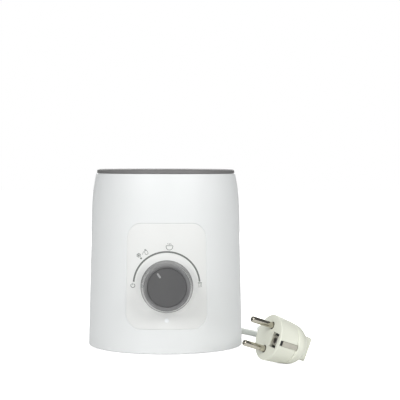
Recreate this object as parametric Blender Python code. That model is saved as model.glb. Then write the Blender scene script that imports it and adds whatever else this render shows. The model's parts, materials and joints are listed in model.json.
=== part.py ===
"""Electric bottle warmer: a round white housing with a water well, a front knob and a mains lead.

Units are metres and +Z is up.  The feet stand on z = 0 and the knob faces -Y.  Round parts are
turned outlines of (radius, height) pairs.  Everything hangs from an empty on the housing's axis.
"""
import math

import bmesh
import bpy
import numpy as np
from mathutils import Matrix, Vector

# Clearances and resolution
GAP = 0.0003                 # air between pieces that touch
HOUSING_STEPS = 48           # facets round the large turned shells
ROUND_STEPS = 32             # facets round medium pieces
SMALL_STEPS = 12             # facets round screws, posts and pins

# Housing
HEIGHT = 0.150               # table to top ring
BASE_RADIUS = 0.0655         # outer radius at the foot of the housing
TAPER = 0.0235               # radius lost for each metre of height
SHOULDER_START = 0.115       # height where the shoulder leaves the straight taper
SHOULDER_DROP = 0.0031       # extra radius lost over the shoulder
HOUSING_BOTTOM = 0.0005
HOUSING_TOP = 0.1462
WALL = 0.0024

# Knob and control panel
KNOB_HEIGHT = 0.0559         # height of the knob's axis
KNOB_SEAT = 0.0690           # distance from the housing's axis to the knob's rear rim
KNOB_DEPTH = 0.0120
KNOB_RADIUS = 0.0212
POINTER_ANGLE = math.radians(123.7)   # from +X, counter-clockwise seen from the front
PANEL_BOTTOM = 0.0207
PANEL_TOP = 0.1060
PANEL_HALF_ANGLE = math.radians(30.5)
PANEL_CORNER = 0.0130
PANEL_THICKNESS = 0.0006
LED_HEIGHT = 0.0279
COLLAR_TOP_RADIUS = 0.0205   # the panel's flared collar, where the knob's rim faces it
COLLAR_FOOT_RADIUS = 0.0258  # and where it runs into the panel
SHAFT_REAR = 0.0528          # distance from the housing's axis to the shaft's rear end
SHAFT_RADIUS = 0.0030

# Well and heater
WELL_TOP_RADIUS = 0.0398
WELL_BOTTOM_RADIUS = 0.0380
WELL_FLOOR = 0.0660          # upper face of the heating plate
PLATE_RADIUS = 0.0315
TANK_BOSS_RING = 0.0432      # radius of the circle that the tank's screw bosses stand on
TANK_BOSS_ANGLES = [math.radians(a) for a in (90, 210, 330)]
ELEMENT_RADIUS = 0.0220
ELEMENT_TUBE = 0.0033
ELEMENT_HEIGHT = 0.0609

# Base
PLATE_BOTTOM = 0.0016
PLATE_TOP = 0.0040
BASE_PLATE_RADIUS = 0.0625
FOOT_RING = 0.050
FOOT_ANGLES = [math.radians(a) for a in (45, 135, 225, 315)]
SCREW_RING = 0.0586
SCREW_ANGLES = [math.radians(a) for a in (20, 160, 200, 340)]

# Control board
BOARD_FRONT = -0.0506
BOARD_BACK = -0.0490
BOARD_HALF_WIDTH = 0.022
BOARD_BOTTOM = 0.022
BOARD_TOP = 0.080
BOARD_SCREWS = [(-0.0185, 0.076), (0.0185, 0.026)]
BOARD_PEGS = [(0.0185, 0.076), (-0.0185, 0.026)]

# Mains lead
CORD_RADIUS = 0.0028
CORD_X = -0.016              # where the lead passes the rear wall
CORD_Z = 0.014
GLAND_END = 0.089            # distance of the gland's tip behind the housing's axis
PAD_FACE = 0.0654
COIL_CENTRE = (0.017, 0.122)
COIL_INNER = 0.0274
COIL_OUTER = 0.0389
TIE_THICKNESS = 0.0006
COIL_BOTTOM = TIE_THICKNESS + GAP
COIL_TOP = COIL_BOTTOM + 4 * CORD_RADIUS + 0.0001
LEAD_ROUTE = [(-0.016, 0.0893, 0.0140), (-0.0162, 0.0930, 0.0138), (-0.0167, 0.0970, 0.0132),
              (-0.0173, 0.1004, 0.0125)]
TAIL_ROUTE = [(0.0530, 0.1006, 0.0034), (0.0535, 0.0943, 0.0031), (0.0550, 0.0877, 0.0029),
              (0.0580, 0.0807, 0.0029), (0.0623, 0.0735, 0.0029), (0.0677, 0.0655, 0.0029),
              (0.0737, 0.0563, 0.0029), (0.0795, 0.0455, 0.0029), (0.0840, 0.0330, 0.0029),
              (0.0866, 0.0190, 0.0030), (0.0872, 0.0045, 0.0035), (0.0863, -0.0090, 0.0056),
              (0.0845, -0.0210, 0.0091), (0.0822, -0.0315, 0.0129), (0.0799, -0.0400, 0.0159),
              (0.0780, -0.0470, 0.0181), (0.0768, -0.0530, 0.0195), (0.0766, -0.0585, 0.0201),
              (0.0771, -0.0632, 0.0202), (0.07823, -0.06757, 0.01992),
              (0.07992, -0.07171, 0.01943)]

# Plug: its own X points along the pins, Y towards the earth hole, Z from pin to pin
PLUG_FACE = (0.0769, -0.1170, 0.0217)
PLUG_TURN = (math.radians(-6.6), math.radians(-18.5), math.radians(204.3))
PIN_PITCH = 0.019
PIN_LENGTH = 0.019
PIN_RADIUS = 0.0024
PLUG_COLLAR = 0.0185
GRIP_END = 0.0355
OUTLET_X = -0.021
OUTLET_FACE = -0.0203
RELIEF_END = -0.040

# The object without its lead is centred on the origin, so the housing's axis sits behind it
BODY_AXIS_Y = (KNOB_SEAT + KNOB_DEPTH - BASE_RADIUS) / 2

FRONT = (math.pi / 2, 0, 0)      # turns a piece's own +Z to point at -Y
BACK = (-math.pi / 2, 0, 0)      # turns a piece's own +Z to point at +Y
ALONG_X = (0, math.pi / 2, 0)    # turns a piece's own +Z to point at +X


def material(name, colour, roughness, metallic=0.0):
    """A plain Principled material, made once for each name."""
    made = bpy.data.materials.get(name)
    if made:
        return made
    made = bpy.data.materials.new(name)
    made.use_nodes = True
    shader = made.node_tree.nodes["Principled BSDF"]
    shader.inputs["Base Color"].default_value = (*colour, 1)
    shader.inputs["Roughness"].default_value = roughness
    shader.inputs["Metallic"].default_value = metallic
    made.diffuse_color = (*colour, 1)
    return made


def white_shell():
    return material("white_shell", (0.86, 0.88, 0.88), 0.25)


def panel_white():
    return material("panel_white", (0.84, 0.84, 0.82), 0.4)


def grey_trim():
    return material("grey_trim", (0.20, 0.20, 0.20), 0.45)


def pale_mark():
    return material("pale_mark", (0.40, 0.40, 0.40), 0.4)


def tank_plastic():
    return material("tank_plastic", (0.80, 0.82, 0.80), 0.35)


def steel():
    return material("steel", (0.56, 0.56, 0.55), 0.3, 1.0)


def silicone():
    return material("silicone", (0.70, 0.70, 0.68), 0.6)


def foot_rubber():
    return material("foot_rubber", (0.08, 0.08, 0.08), 0.8)


def board_green():
    return material("board_green", (0.02, 0.16, 0.07), 0.5)


def black_plastic():
    return material("black_plastic", (0.03, 0.03, 0.03), 0.4)


def lamp_clear():
    return material("lamp_clear", (0.90, 0.92, 0.95), 0.1)


def lead_sheath():
    return material("lead_sheath", (0.58, 0.60, 0.55), 0.45)


def plug_ivory():
    return material("plug_ivory", (0.76, 0.77, 0.68), 0.35)


def nickel():
    return material("nickel", (0.62, 0.60, 0.54), 0.2, 1.0)


def empty(name, location, rotation=(0, 0, 0), parent=None):
    made = bpy.data.objects.new(name, None)
    made.location = location
    made.rotation_euler = rotation
    made.parent = parent
    bpy.context.collection.objects.link(made)
    return made


def node(name, mesh, finish, parent, location=(0, 0, 0), rotation=(0, 0, 0)):
    """Places a mesh or curve as one named object."""
    made = bpy.data.objects.new(name, mesh)
    made.location = location
    made.rotation_euler = rotation
    made.parent = parent
    if finish:
        mesh.materials.append(finish)
    bpy.context.collection.objects.link(made)
    return made


def mesh_of(bm, name, sharp=math.radians(35)):
    """Turns a bmesh into a mesh with outward faces, smooth apart from its real edges."""
    bmesh.ops.remove_doubles(bm, verts=bm.verts, dist=1e-6)
    bmesh.ops.recalc_face_normals(bm, faces=bm.faces)
    mesh = bpy.data.meshes.new(name)
    bm.to_mesh(mesh)
    bm.free()
    mesh.shade_smooth()
    mesh.set_sharp_from_angle(angle=sharp)
    return mesh


def add_turned(bm, outline, steps, matrix=Matrix()):
    """Spins a closed (radius, height) outline about Z inside an existing bmesh."""
    corners = [bm.verts.new(matrix @ Vector((r, 0, z))) for r, z in outline]
    edges = [bm.edges.new((a, b)) for a, b in zip(corners, corners[1:])]
    on_axis = outline[0][0] == 0 and outline[-1][0] == 0
    if not on_axis:
        edges.append(bm.edges.new((corners[-1], corners[0])))
    bmesh.ops.spin(bm, geom=corners + edges, cent=matrix.translation, steps=steps,
                   axis=matrix.to_3x3() @ Vector((0, 0, 1)), angle=2 * math.pi)


def turned(name, outline, finish, parent, steps=ROUND_STEPS, **place):
    bm = bmesh.new()
    add_turned(bm, outline, steps)
    return node(name, mesh_of(bm, name), finish, parent, **place)


def add_loft(bm, stations, steps=ROUND_STEPS):
    """A closed body along X through ellipses given as (x, half width in Y, half width in Z)."""
    rings = []
    for x, half_y, half_z in stations:
        turns = [2 * math.pi * k / steps for k in range(steps)]
        rings.append([bm.verts.new((x, half_y * math.cos(t), half_z * math.sin(t))) for t in turns])
    for near, far in zip(rings, rings[1:]):
        for k in range(steps):
            after = (k + 1) % steps
            bm.faces.new((near[k], near[after], far[after], far[k]))
    bm.faces.new(rings[0])
    bm.faces.new(rings[-1])


def add_cylinder(bm, radius, start, end, steps=SMALL_STEPS):
    """A closed cylinder between two points."""
    axis = Vector(end) - Vector(start)
    turn = Vector((0, 0, 1)).rotation_difference(axis).to_matrix().to_4x4()
    middle = Matrix.Translation((Vector(start) + Vector(end)) / 2)
    bmesh.ops.create_cone(bm, cap_ends=True, segments=steps, radius1=radius, radius2=radius,
                          depth=axis.length, matrix=middle @ turn)


def add_box(bm, low, high):
    low, high = Vector(low), Vector(high)
    size = Matrix.Diagonal((*(high - low), 1))
    bmesh.ops.create_cube(bm, size=1, matrix=Matrix.Translation((low + high) / 2) @ size)


def box(name, low, high, finish, parent, bevel=0.0):
    """A block between two corners, with its origin at its middle."""
    bm = bmesh.new()
    middle = (Vector(low) + Vector(high)) / 2
    add_box(bm, Vector(low) - middle, Vector(high) - middle)
    made = node(name, mesh_of(bm, name), finish, parent, location=middle)
    if bevel:
        rounding = made.modifiers.new("rounded edges", "BEVEL")
        rounding.width = bevel
        rounding.segments = 2
    return made


def shape_with(target, bm, operation, label):
    """Adds a live Boolean whose hidden operand is the given bmesh, in the target's own frame."""
    operand = node(f"{target.name}_{label}", mesh_of(bm, label), None, target.parent,
                   location=target.location, rotation=target.rotation_euler)
    operand.hide_render = True
    operand.display_type = "WIRE"
    step = target.modifiers.new(label, "BOOLEAN")
    step.operation = operation
    step.object = operand
    step.solver = "EXACT"


def smooth_route(points, spacing, end_run):
    """Points about one spacing apart on a centripetal Catmull-Rom curve through a route.

    One more point close to each end keeps the end faces square to the route.
    """
    points = np.array(points, float)
    padded = np.vstack([2 * points[0] - points[1], points, 2 * points[-1] - points[-2]])
    fine = [points[0]]
    for p0, p1, p2, p3 in zip(padded, padded[1:], padded[2:], padded[3:]):
        t0 = 0.0
        t1 = t0 + np.linalg.norm(p1 - p0) ** 0.5
        t2 = t1 + np.linalg.norm(p2 - p1) ** 0.5
        t3 = t2 + np.linalg.norm(p3 - p2) ** 0.5
        for t in np.linspace(t1, t2, 9)[1:]:
            a1 = (t1 - t) / (t1 - t0) * p0 + (t - t0) / (t1 - t0) * p1
            a2 = (t2 - t) / (t2 - t1) * p1 + (t - t1) / (t2 - t1) * p2
            a3 = (t3 - t) / (t3 - t2) * p2 + (t - t2) / (t3 - t2) * p3
            b1 = (t2 - t) / (t2 - t0) * a1 + (t - t0) / (t2 - t0) * a2
            b2 = (t3 - t) / (t3 - t1) * a2 + (t - t1) / (t3 - t1) * a3
            fine.append((t2 - t) / (t2 - t1) * b1 + (t - t1) / (t2 - t1) * b2)
    fine = np.array(fine)
    run = np.concatenate([[0], np.cumsum(np.linalg.norm(np.diff(fine, axis=0), axis=1))])
    count = max(2, round(run[-1] / spacing) + 1)
    wanted = np.linspace(0, run[-1], count)
    wanted = np.concatenate([[0, end_run], wanted[1:-1], [run[-1] - end_run, run[-1]]])
    return np.stack([np.interp(wanted, run, fine[:, k]) for k in range(3)], axis=1)


def tube(name, route, radius, finish, parent, spacing):
    """A round cable on a smooth curve through its route, with filled ends."""
    curve = bpy.data.curves.new(name, "CURVE")
    curve.dimensions = "3D"
    curve.bevel_depth = radius
    curve.bevel_resolution = 2
    curve.use_fill_caps = True
    points = smooth_route(route, spacing, radius / 2)
    spline = curve.splines.new("POLY")
    spline.points.add(len(points) - 1)
    for point, place in zip(spline.points, points):
        point.co = (*place, 1)
    return node(name, curve, finish, parent)


def housing_radius(z):
    """Outer radius of the housing: a straight taper, then a soft shoulder."""
    shoulder = max(0.0, (z - SHOULDER_START) / (HEIGHT - 0.0032 - SHOULDER_START))
    return BASE_RADIUS - TAPER * z - SHOULDER_DROP * shoulder ** 2.2


def on_ring(radius, angle, z=0.0):
    return Vector((radius * math.cos(angle), radius * math.sin(angle), z))


# ---------------------------------------------------------------- housing

def outer_housing(parent):
    """The white shell, with screw bosses, board posts, a flat gland pad and its openings."""
    edge = 0.0010
    levels = [SHOULDER_START + (HOUSING_TOP - SHOULDER_START) * k / 4 for k in range(5)]
    outside = [(housing_radius(0) - edge, HOUSING_BOTTOM),
               (housing_radius(0), HOUSING_BOTTOM + edge)]
    outside += [(housing_radius(z), z) for z in levels]
    inside = [(housing_radius(z) - WALL, z) for z in reversed(levels[::2])]
    inside += [(housing_radius(0) - WALL, HOUSING_BOTTOM)]
    shell = turned("outer_housing", outside + inside, white_shell(), parent, HOUSING_STEPS)

    bosses = bmesh.new()
    for angle in SCREW_ANGLES:
        add_cylinder(bosses, 0.0052, on_ring(SCREW_RING, angle, PLATE_TOP + GAP),
                     on_ring(SCREW_RING, angle, 0.020), 16)
    for x, z in BOARD_SCREWS + BOARD_PEGS:
        add_cylinder(bosses, 0.0030, (x, BOARD_FRONT - GAP, z), (x, -0.0605, z))
    add_cylinder(bosses, 0.0076, (CORD_X, 0.0600, CORD_Z), (CORD_X, PAD_FACE, CORD_Z), 24)
    shape_with(shell, bosses, "UNION", "bosses")

    holes = bmesh.new()
    for angle in SCREW_ANGLES:
        add_cylinder(holes, 0.0015, on_ring(SCREW_RING, angle, 0), on_ring(SCREW_RING, angle, 0.015))
    for x, z in BOARD_SCREWS:
        add_cylinder(holes, 0.0013, (x, -0.045, z), (x, -0.0575, z))
    add_cylinder(holes, 0.0045, (CORD_X, 0.055, CORD_Z), (CORD_X, 0.070, CORD_Z), 24)
    add_cylinder(holes, 0.0050, (0, -0.055, KNOB_HEIGHT), (0, -0.072, KNOB_HEIGHT), 24)
    add_cylinder(holes, 0.00235, (0, -0.055, LED_HEIGHT), (0, -0.070, LED_HEIGHT))
    shape_with(shell, holes, "DIFFERENCE", "holes")

    recess = bmesh.new()
    add_curved_plate(recess, PANEL_THICKNESS + GAP, -0.0020, GAP)
    shape_with(shell, recess, "DIFFERENCE", "panel_recess")
    return shell


def add_curved_plate(bm, inner_depth, outer_depth, margin):
    """A rounded rectangle wrapped round the housing's front, between two depths under its skin."""
    corner = PANEL_CORNER + margin
    low, high = PANEL_BOTTOM - margin, PANEL_TOP + margin
    turns = [math.radians(a) for a in (0, 15, 30, 50, 70, 90)]
    inset = [(corner * (1 - math.cos(t)), corner * (1 - math.sin(t))) for t in turns]
    rows = [(low + up, side) for up, side in inset]
    rows += [(high - up, side) for up, side in reversed(inset)]
    columns = 12
    skins = []
    for depth in (inner_depth, outer_depth):
        skin = []
        for z, side in rows:
            radius = housing_radius(z)
            half = PANEL_HALF_ANGLE + (margin - side) / radius
            angles = [half * (2 * k / columns - 1) for k in range(columns + 1)]
            skin.append([bm.verts.new(((radius - depth) * math.sin(a),
                                       -(radius - depth) * math.cos(a), z)) for a in angles])
        skins.append(skin)
    inner, outer = skins
    last = len(rows) - 1
    for r in range(last):
        for c in range(columns):
            bm.faces.new((inner[r][c], inner[r][c + 1], inner[r + 1][c + 1], inner[r + 1][c]))
            bm.faces.new((outer[r][c], outer[r + 1][c], outer[r + 1][c + 1], outer[r][c + 1]))
        for c in (0, columns):
            bm.faces.new((inner[r][c], inner[r + 1][c], outer[r + 1][c], outer[r][c]))
    for c in range(columns):
        for r in (0, last):
            bm.faces.new((inner[r][c], inner[r][c + 1], outer[r][c + 1], outer[r][c]))


def knob_collar():
    """The collar, from the knob's flat rim back into the curved plate.

    Its front is flat and its side flares like a trumpet.  Each ring of points behind the front
    slides back along -Z towards the skin of the housing: the share of the way that is left is
    the square of the share of the flare's width that remains, so it runs out along the skin.
    """
    bm = bmesh.new()
    steps, flares = 40, 5
    sink = PANEL_THICKNESS / 2
    rows = []
    for k in range(flares + 2):
        share = min(k / flares, 1)
        radius = COLLAR_TOP_RADIUS + (COLLAR_FOOT_RADIUS - COLLAR_TOP_RADIUS) * share
        ring = []
        for s in range(steps):
            angle = 2 * math.pi * s / steps
            x, z = radius * math.cos(angle), KNOB_HEIGHT + radius * math.sin(angle)
            skin = math.sqrt((housing_radius(z) - sink) ** 2 - x * x)
            ahead = (KNOB_SEAT - GAP - skin) * (1 - share) ** 2
            back = 0.0 if k <= flares else 0.0002
            ring.append(bm.verts.new((x, -(skin + ahead - back), z)))
        rows.append(ring)
    front = bm.verts.new((0, -(KNOB_SEAT - GAP), KNOB_HEIGHT))
    back_skin = housing_radius(KNOB_HEIGHT) - sink
    rear_rows = []
    for share in (0.75, 0.5, 0.25):
        ring = []
        for s in range(steps):
            angle = 2 * math.pi * s / steps
            radius = COLLAR_FOOT_RADIUS * share
            x, z = radius * math.cos(angle), KNOB_HEIGHT + radius * math.sin(angle)
            skin = math.sqrt((housing_radius(z) - sink) ** 2 - x * x)
            ring.append(bm.verts.new((x, -(skin - 0.0002), z)))
        rear_rows.append(ring)
    rear = bm.verts.new((0, -(back_skin - 0.0002), KNOB_HEIGHT))
    rings = rows + rear_rows
    for here, after in zip(rings, rings[1:]):
        for s in range(steps):
            t = (s + 1) % steps
            bm.faces.new((here[s], here[t], after[t], after[s]))
    for s in range(steps):
        t = (s + 1) % steps
        bm.faces.new((front, rings[0][t], rings[0][s]))
        bm.faces.new((rear, rings[-1][s], rings[-1][t]))
    bmesh.ops.recalc_face_normals(bm, faces=bm.faces)
    return bm


def control_panel(parent):
    """The smooth plate let into the front, with a flared collar behind the knob and two holes."""
    bm = bmesh.new()
    add_curved_plate(bm, PANEL_THICKNESS, 0.0, 0.0)
    panel = node("control_panel", mesh_of(bm, "control_panel"), panel_white(), parent)
    shape_with(panel, knob_collar(), "UNION", "knob_collar")
    holes = bmesh.new()
    add_cylinder(holes, 0.0050, (0, -0.055, KNOB_HEIGHT), (0, -0.072, KNOB_HEIGHT), 24)
    add_cylinder(holes, 0.00235, (0, -0.055, LED_HEIGHT), (0, -0.070, LED_HEIGHT))
    shape_with(panel, holes, "DIFFERENCE", "holes")


def top_ring(parent):
    """The grey rim round the mouth, with a skirt that clips inside the housing."""
    seat = HOUSING_TOP + GAP
    outline = [(0.0586, seat), (0.0584, 0.1486), (0.0572, 0.1496), (0.0530, HEIGHT),
               (0.0410, HEIGHT), (0.0395, 0.1488), (0.0395, 0.1462), (0.0540, 0.1462), (0.0540, 0.1415),
               (0.0562, 0.1415), (0.0562, seat)]
    turned("top_ring", outline, grey_trim(), parent, HOUSING_STEPS)


# ---------------------------------------------------------------- well and heater

def water_tank(parent):
    """The well that holds the bottle, open at the floor for the heating plate."""
    floor = 0.0637
    outline = [(WELL_TOP_RADIUS, 0.1459), (0.0530, 0.1459), (0.0530, 0.1439),
               (WELL_TOP_RADIUS + 0.002, 0.1439), (WELL_BOTTOM_RADIUS + 0.002, floor),
               (0.0320, floor), (0.0320, floor + 0.002), (WELL_BOTTOM_RADIUS - 0.001, floor + 0.002),
               (WELL_BOTTOM_RADIUS, floor + 0.0032)]
    tank = turned("water_tank", outline, tank_plastic(), parent, 40)
    bosses = bmesh.new()
    holes = bmesh.new()
    for angle in TANK_BOSS_ANGLES:
        foot = on_ring(TANK_BOSS_RING, angle, 0.0610)
        add_cylinder(bosses, 0.0038, foot, foot + Vector((0, 0, 0.013)))
        add_cylinder(holes, 0.0015, foot - Vector((0, 0, 0.001)), foot + Vector((0, 0, 0.0095)))
    shape_with(tank, bosses, "UNION", "bosses")
    shape_with(tank, holes, "DIFFERENCE", "holes")


def heating_plate(parent):
    """A pressed steel dish whose raised flat is the floor of the well."""
    outline = [(0, WELL_FLOOR), (PLATE_RADIUS - 0.0008, WELL_FLOOR), (PLATE_RADIUS, 0.0652),
               (PLATE_RADIUS, 0.0622), (0.0365, 0.0622), (0.0365, 0.0610), (0.0303, 0.0610),
               (0.0303, 0.0645), (0, 0.0645)]
    turned("heating_plate", outline, steel(), parent)


def plate_seal(parent):
    outline = [(0.0323, 0.0625), (0.0363, 0.0625), (0.0363, 0.0634), (0.0323, 0.0634)]
    turned("plate_seal", outline, silicone(), parent)


def clamp_ring(parent):
    """The steel ring that presses the plate's flange and seal up against the tank."""
    low, high = 0.0592, 0.0607
    outline = [(0.0330, low), (0.0385, low), (0.0385, high), (0.0330, high)]
    ring = turned("clamp_ring", outline, steel(), parent)
    ears = bmesh.new()
    holes = bmesh.new()
    for angle in TANK_BOSS_ANGLES:
        inner = on_ring(TANK_BOSS_RING - 0.0018, angle)
        add_cylinder(ears, 0.0055, inner + Vector((0, 0, low)), inner + Vector((0, 0, high)), 16)
        outer = on_ring(TANK_BOSS_RING, angle)
        add_cylinder(holes, 0.0016, outer + Vector((0, 0, 0.058)), outer + Vector((0, 0, 0.062)))
    shape_with(ring, ears, "UNION", "ears")
    shape_with(ring, holes, "DIFFERENCE", "holes")


def screw(name, head_radius, head_height, length, parent, location, rotation=(0, 0, 0)):
    """A screw with its head's face at its origin and its shank along its own +Z."""
    shank = 0.0012 if head_radius > 0.0023 else 0.0010
    outline = [(0, 0), (head_radius, 0), (head_radius, head_height), (shank, head_height),
               (shank, length - 0.0010), (0, length)]
    turned(name, outline, steel(), parent, SMALL_STEPS, location=location, rotation=rotation)


def clamp_screws(parent):
    for k, angle in enumerate(TANK_BOSS_ANGLES):
        screw(f"clamp_screw_{k + 1}", 0.0028, 0.0017, 0.0125, parent,
              on_ring(TANK_BOSS_RING, angle, 0.0572))


def heating_element(parent):
    """A sheathed tube bent into a C under the plate, both ends turned down."""
    opening = math.radians(40)
    bend = 0.007
    bottom = 0.048
    route = []
    for side in (1, -1):
        end = math.pi / 2 - side * opening
        corner = on_ring(ELEMENT_RADIUS, end, ELEMENT_HEIGHT)
        towards = Vector((-math.sin(end), math.cos(end), 0)) * side
        leg = [corner + towards * bend * math.sin(t) - Vector((0, 0, bend * (1 - math.cos(t))))
               for t in np.linspace(0, math.pi / 2, 5)[1:]]
        foot = leg[-1].copy()
        leg += [Vector((foot.x, foot.y, bottom + 0.003)), Vector((foot.x, foot.y, bottom))]
        if side == 1:
            route += list(reversed(leg))
            arc = np.linspace(end, end - (2 * math.pi - 2 * opening), 22)
            route += [on_ring(ELEMENT_RADIUS, a, ELEMENT_HEIGHT) for a in arc]
        else:
            route += leg
    tube("heating_element", [tuple(p) for p in route], ELEMENT_TUBE, steel(), parent, 0.005)


def heater_guards(parent):
    """The thermostat, the thermal fuse and the sensor pressed against the plate."""
    can = [(0, 0.0577), (0.0058, 0.0577), (0.0062, 0.0585), (0.0062, 0.0612), (0.0080, 0.0616),
           (0.0080, 0.0642), (0, 0.0642)]
    turned("overheat_thermostat", can, black_plastic(), parent, 24)
    fuse = [(0, -0.0060), (0.0013, -0.0060), (0.0020, -0.0050), (0.0020, 0.0050),
            (0.0013, 0.0060), (0, 0.0060)]
    turned("thermal_fuse", fuse, steel(), parent, SMALL_STEPS,
           location=(0, 0.014, 0.0622), rotation=ALONG_X)
    bulb = [(0, 0.0580), (0.0022, 0.0580), (0.0022, 0.0606), (0.0030, 0.0612), (0.0030, 0.0642),
            (0, 0.0642)]
    turned("temperature_sensor", bulb, steel(), parent, SMALL_STEPS, location=(0, -0.014, 0))


# ---------------------------------------------------------------- control board and knob

def control_board(parent):
    board = box("control_board", (-BOARD_HALF_WIDTH, BOARD_FRONT, BOARD_BOTTOM),
                (BOARD_HALF_WIDTH, BOARD_BACK, BOARD_TOP), board_green(), parent)
    holes = bmesh.new()
    for x, z in BOARD_SCREWS:
        middle = board.location
        add_cylinder(holes, 0.0013, Vector((x, -0.053, z)) - middle, Vector((x, -0.047, z)) - middle)
    shape_with(board, holes, "DIFFERENCE", "holes")
    for k, (x, z) in enumerate(BOARD_SCREWS):
        screw(f"board_screw_{k + 1}", 0.0023, 0.0015, 0.0090, parent,
              (x, BOARD_BACK + GAP + 0.0015, z), FRONT)


def board_parts(parent):
    """What is soldered to the board: relay, capacitor, chip and lamp."""
    back = BOARD_BACK + GAP
    box("relay", (-0.018, back, 0.026), (-0.003, back + 0.015, 0.045), black_plastic(), parent,
        0.0006)
    can = [(0, 0), (0.0045, 0), (0.0050, 0.0006), (0.0050, 0.0150), (0.0044, 0.0160), (0, 0.0160)]
    turned("capacitor", can, black_plastic(), parent, 16, location=(0.0105, back, 0.0340),
           rotation=BACK)
    box("control_chip", (-0.006, back, 0.062), (0.006, back + 0.0016, 0.070), black_plastic(),
        parent)
    front = -BOARD_FRONT + GAP
    lamp = [(0, 0), (0.0029, 0), (0.0029, 0.0010), (0.0025, 0.0010), (0.0025, 0.0042),
            (0.0017, 0.0058), (0, 0.0064)]
    turned("status_led", lamp, lamp_clear(), parent, SMALL_STEPS,
           location=(0, -front, LED_HEIGHT), rotation=FRONT)


def led_lens(parent):
    """The clear light pipe from the lamp to the panel's face."""
    rear = 0.0578
    tip = housing_radius(LED_HEIGHT) + 0.0003 - rear
    outline = [(0, 0), (0.0032, 0), (0.0032, 0.0014), (0.0020, 0.0014), (0.0020, tip - 0.0004),
               (0.0014, tip), (0, tip)]
    turned("led_lens", outline, lamp_clear(), parent, 16, location=(0, -rear, LED_HEIGHT),
           rotation=FRONT)


def rotary_control(parent):
    """The switch body behind the panel, with a bushing that the shaft turns in."""
    half = 0.0085
    body = box("rotary_control", (-half, -0.0574, KNOB_HEIGHT - half),
               (half, BOARD_FRONT - GAP, KNOB_HEIGHT + half), black_plastic(), parent)
    middle = body.location
    bushing = bmesh.new()
    add_cylinder(bushing, 0.0042, Vector((0, -0.0560, KNOB_HEIGHT)) - middle,
                 Vector((0, -0.0610, KNOB_HEIGHT)) - middle, 16)
    shape_with(body, bushing, "UNION", "bushing")
    bore = bmesh.new()
    add_cylinder(bore, SHAFT_RADIUS + 0.0004, Vector((0, -0.0520, KNOB_HEIGHT)) - middle,
                 Vector((0, -0.0620, KNOB_HEIGHT)) - middle, 16)
    shape_with(body, bore, "DIFFERENCE", "bore")


def knob(axis):
    """The knob on its shaft, modelled round its own axis with +Z towards the user."""
    rear = SHAFT_REAR - KNOB_SEAT
    shaft = [(0, rear), (SHAFT_RADIUS, rear), (SHAFT_RADIUS, 0.0066), (0.0025, 0.0072), (0, 0.0072)]
    stem = turned("control_shaft", shaft, steel(), axis, 16)
    flat = bmesh.new()
    add_box(flat, (-0.004, 0.0022, 0.0010), (0.004, 0.0050, 0.0090))
    shape_with(stem, flat, "DIFFERENCE", "flat")

    body = [(0, 0.0088), (0.0158, 0.0088), (0.0158, 0.0105), (0.0175, KNOB_DEPTH),
            (0.0181, KNOB_DEPTH), (0.0187, 0.0113), (KNOB_RADIUS, 0.0012), (KNOB_RADIUS, 0),
            (0.0196, 0), (0.0172, 0.0072), (0.0050, 0.0072), (0.0050, 0.0006), (0.0034, 0.0006),
            (0.0034, 0.0076), (0, 0.0076)]
    turned("knob_body", body, grey_trim(), axis, 36)

    cap = turned("knob_cap", [(0, 0.0091), (0.0155, 0.0091), (0.0155, 0.0106), (0, 0.0106)],
                 grey_trim(), axis, 36)
    turn = Matrix.Rotation(POINTER_ANGLE, 4, "Z")
    slot = bmesh.new()
    add_box(slot, (0.0090, -0.0011, 0.0099), (0.0142, 0.0011, 0.0120))
    bmesh.ops.transform(slot, matrix=turn, verts=slot.verts)
    shape_with(cap, slot, "DIFFERENCE", "pointer_slot")
    bar = bmesh.new()
    add_box(bar, (0.0093, -0.0008, 0.0102), (0.0139, 0.0008, 0.0108))
    node("knob_pointer", mesh_of(bar, "knob_pointer"), pale_mark(), axis,
         rotation=(0, 0, POINTER_ANGLE))

    clip = turned("knob_clip", [(0.0053, 0.0012), (0.0060, 0.0012), (0.0060, 0.0056),
                                (0.0053, 0.0056)], steel(), axis, 16)
    split = bmesh.new()
    add_box(split, (-0.0008, -0.0080, 0.0005), (0.0008, -0.0030, 0.0065))
    shape_with(clip, split, "DIFFERENCE", "split")


# ---------------------------------------------------------------- base and wiring

def base_plate(parent):
    """The bottom cover, with foot holes, counterbored screws, vents and a cord saddle."""
    outline = [(0, PLATE_BOTTOM), (BASE_PLATE_RADIUS, PLATE_BOTTOM), (BASE_PLATE_RADIUS, PLATE_TOP),
               (0, PLATE_TOP)]
    plate = turned("base_plate", outline, white_shell(), parent, HOUSING_STEPS)
    saddle = bmesh.new()
    add_box(saddle, (CORD_X - 0.011, 0.044, PLATE_TOP - 0.001), (CORD_X + 0.011, 0.052, 0.0130))
    shape_with(plate, saddle, "UNION", "saddle")
    holes = bmesh.new()
    for angle in FOOT_ANGLES:
        add_cylinder(holes, 0.0024, on_ring(FOOT_RING, angle, 0), on_ring(FOOT_RING, angle, 0.006))
    for angle in SCREW_ANGLES:
        foot = on_ring(SCREW_RING, angle)
        add_turned(holes, [(0, 0), (0.0031, 0), (0.0031, 0.0032), (0.0017, 0.0032),
                           (0.0017, 0.006), (0, 0.006)], SMALL_STEPS, Matrix.Translation(foot))
    for k in range(6):
        y = -0.040 + 0.006 * k
        add_box(holes, (-0.014, y, 0), (0.014, y + 0.0024, 0.006))
    for x in (CORD_X - 0.0078, CORD_X + 0.0078):
        add_cylinder(holes, 0.0015, (x, 0.048, 0.0075), (x, 0.048, 0.0150))
    shape_with(plate, holes, "DIFFERENCE", "holes")
    groove = bmesh.new()
    add_cylinder(groove, CORD_RADIUS + GAP, (CORD_X, 0.040, CORD_Z), (CORD_X, 0.056, CORD_Z), 16)
    shape_with(plate, groove, "DIFFERENCE", "groove")


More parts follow.
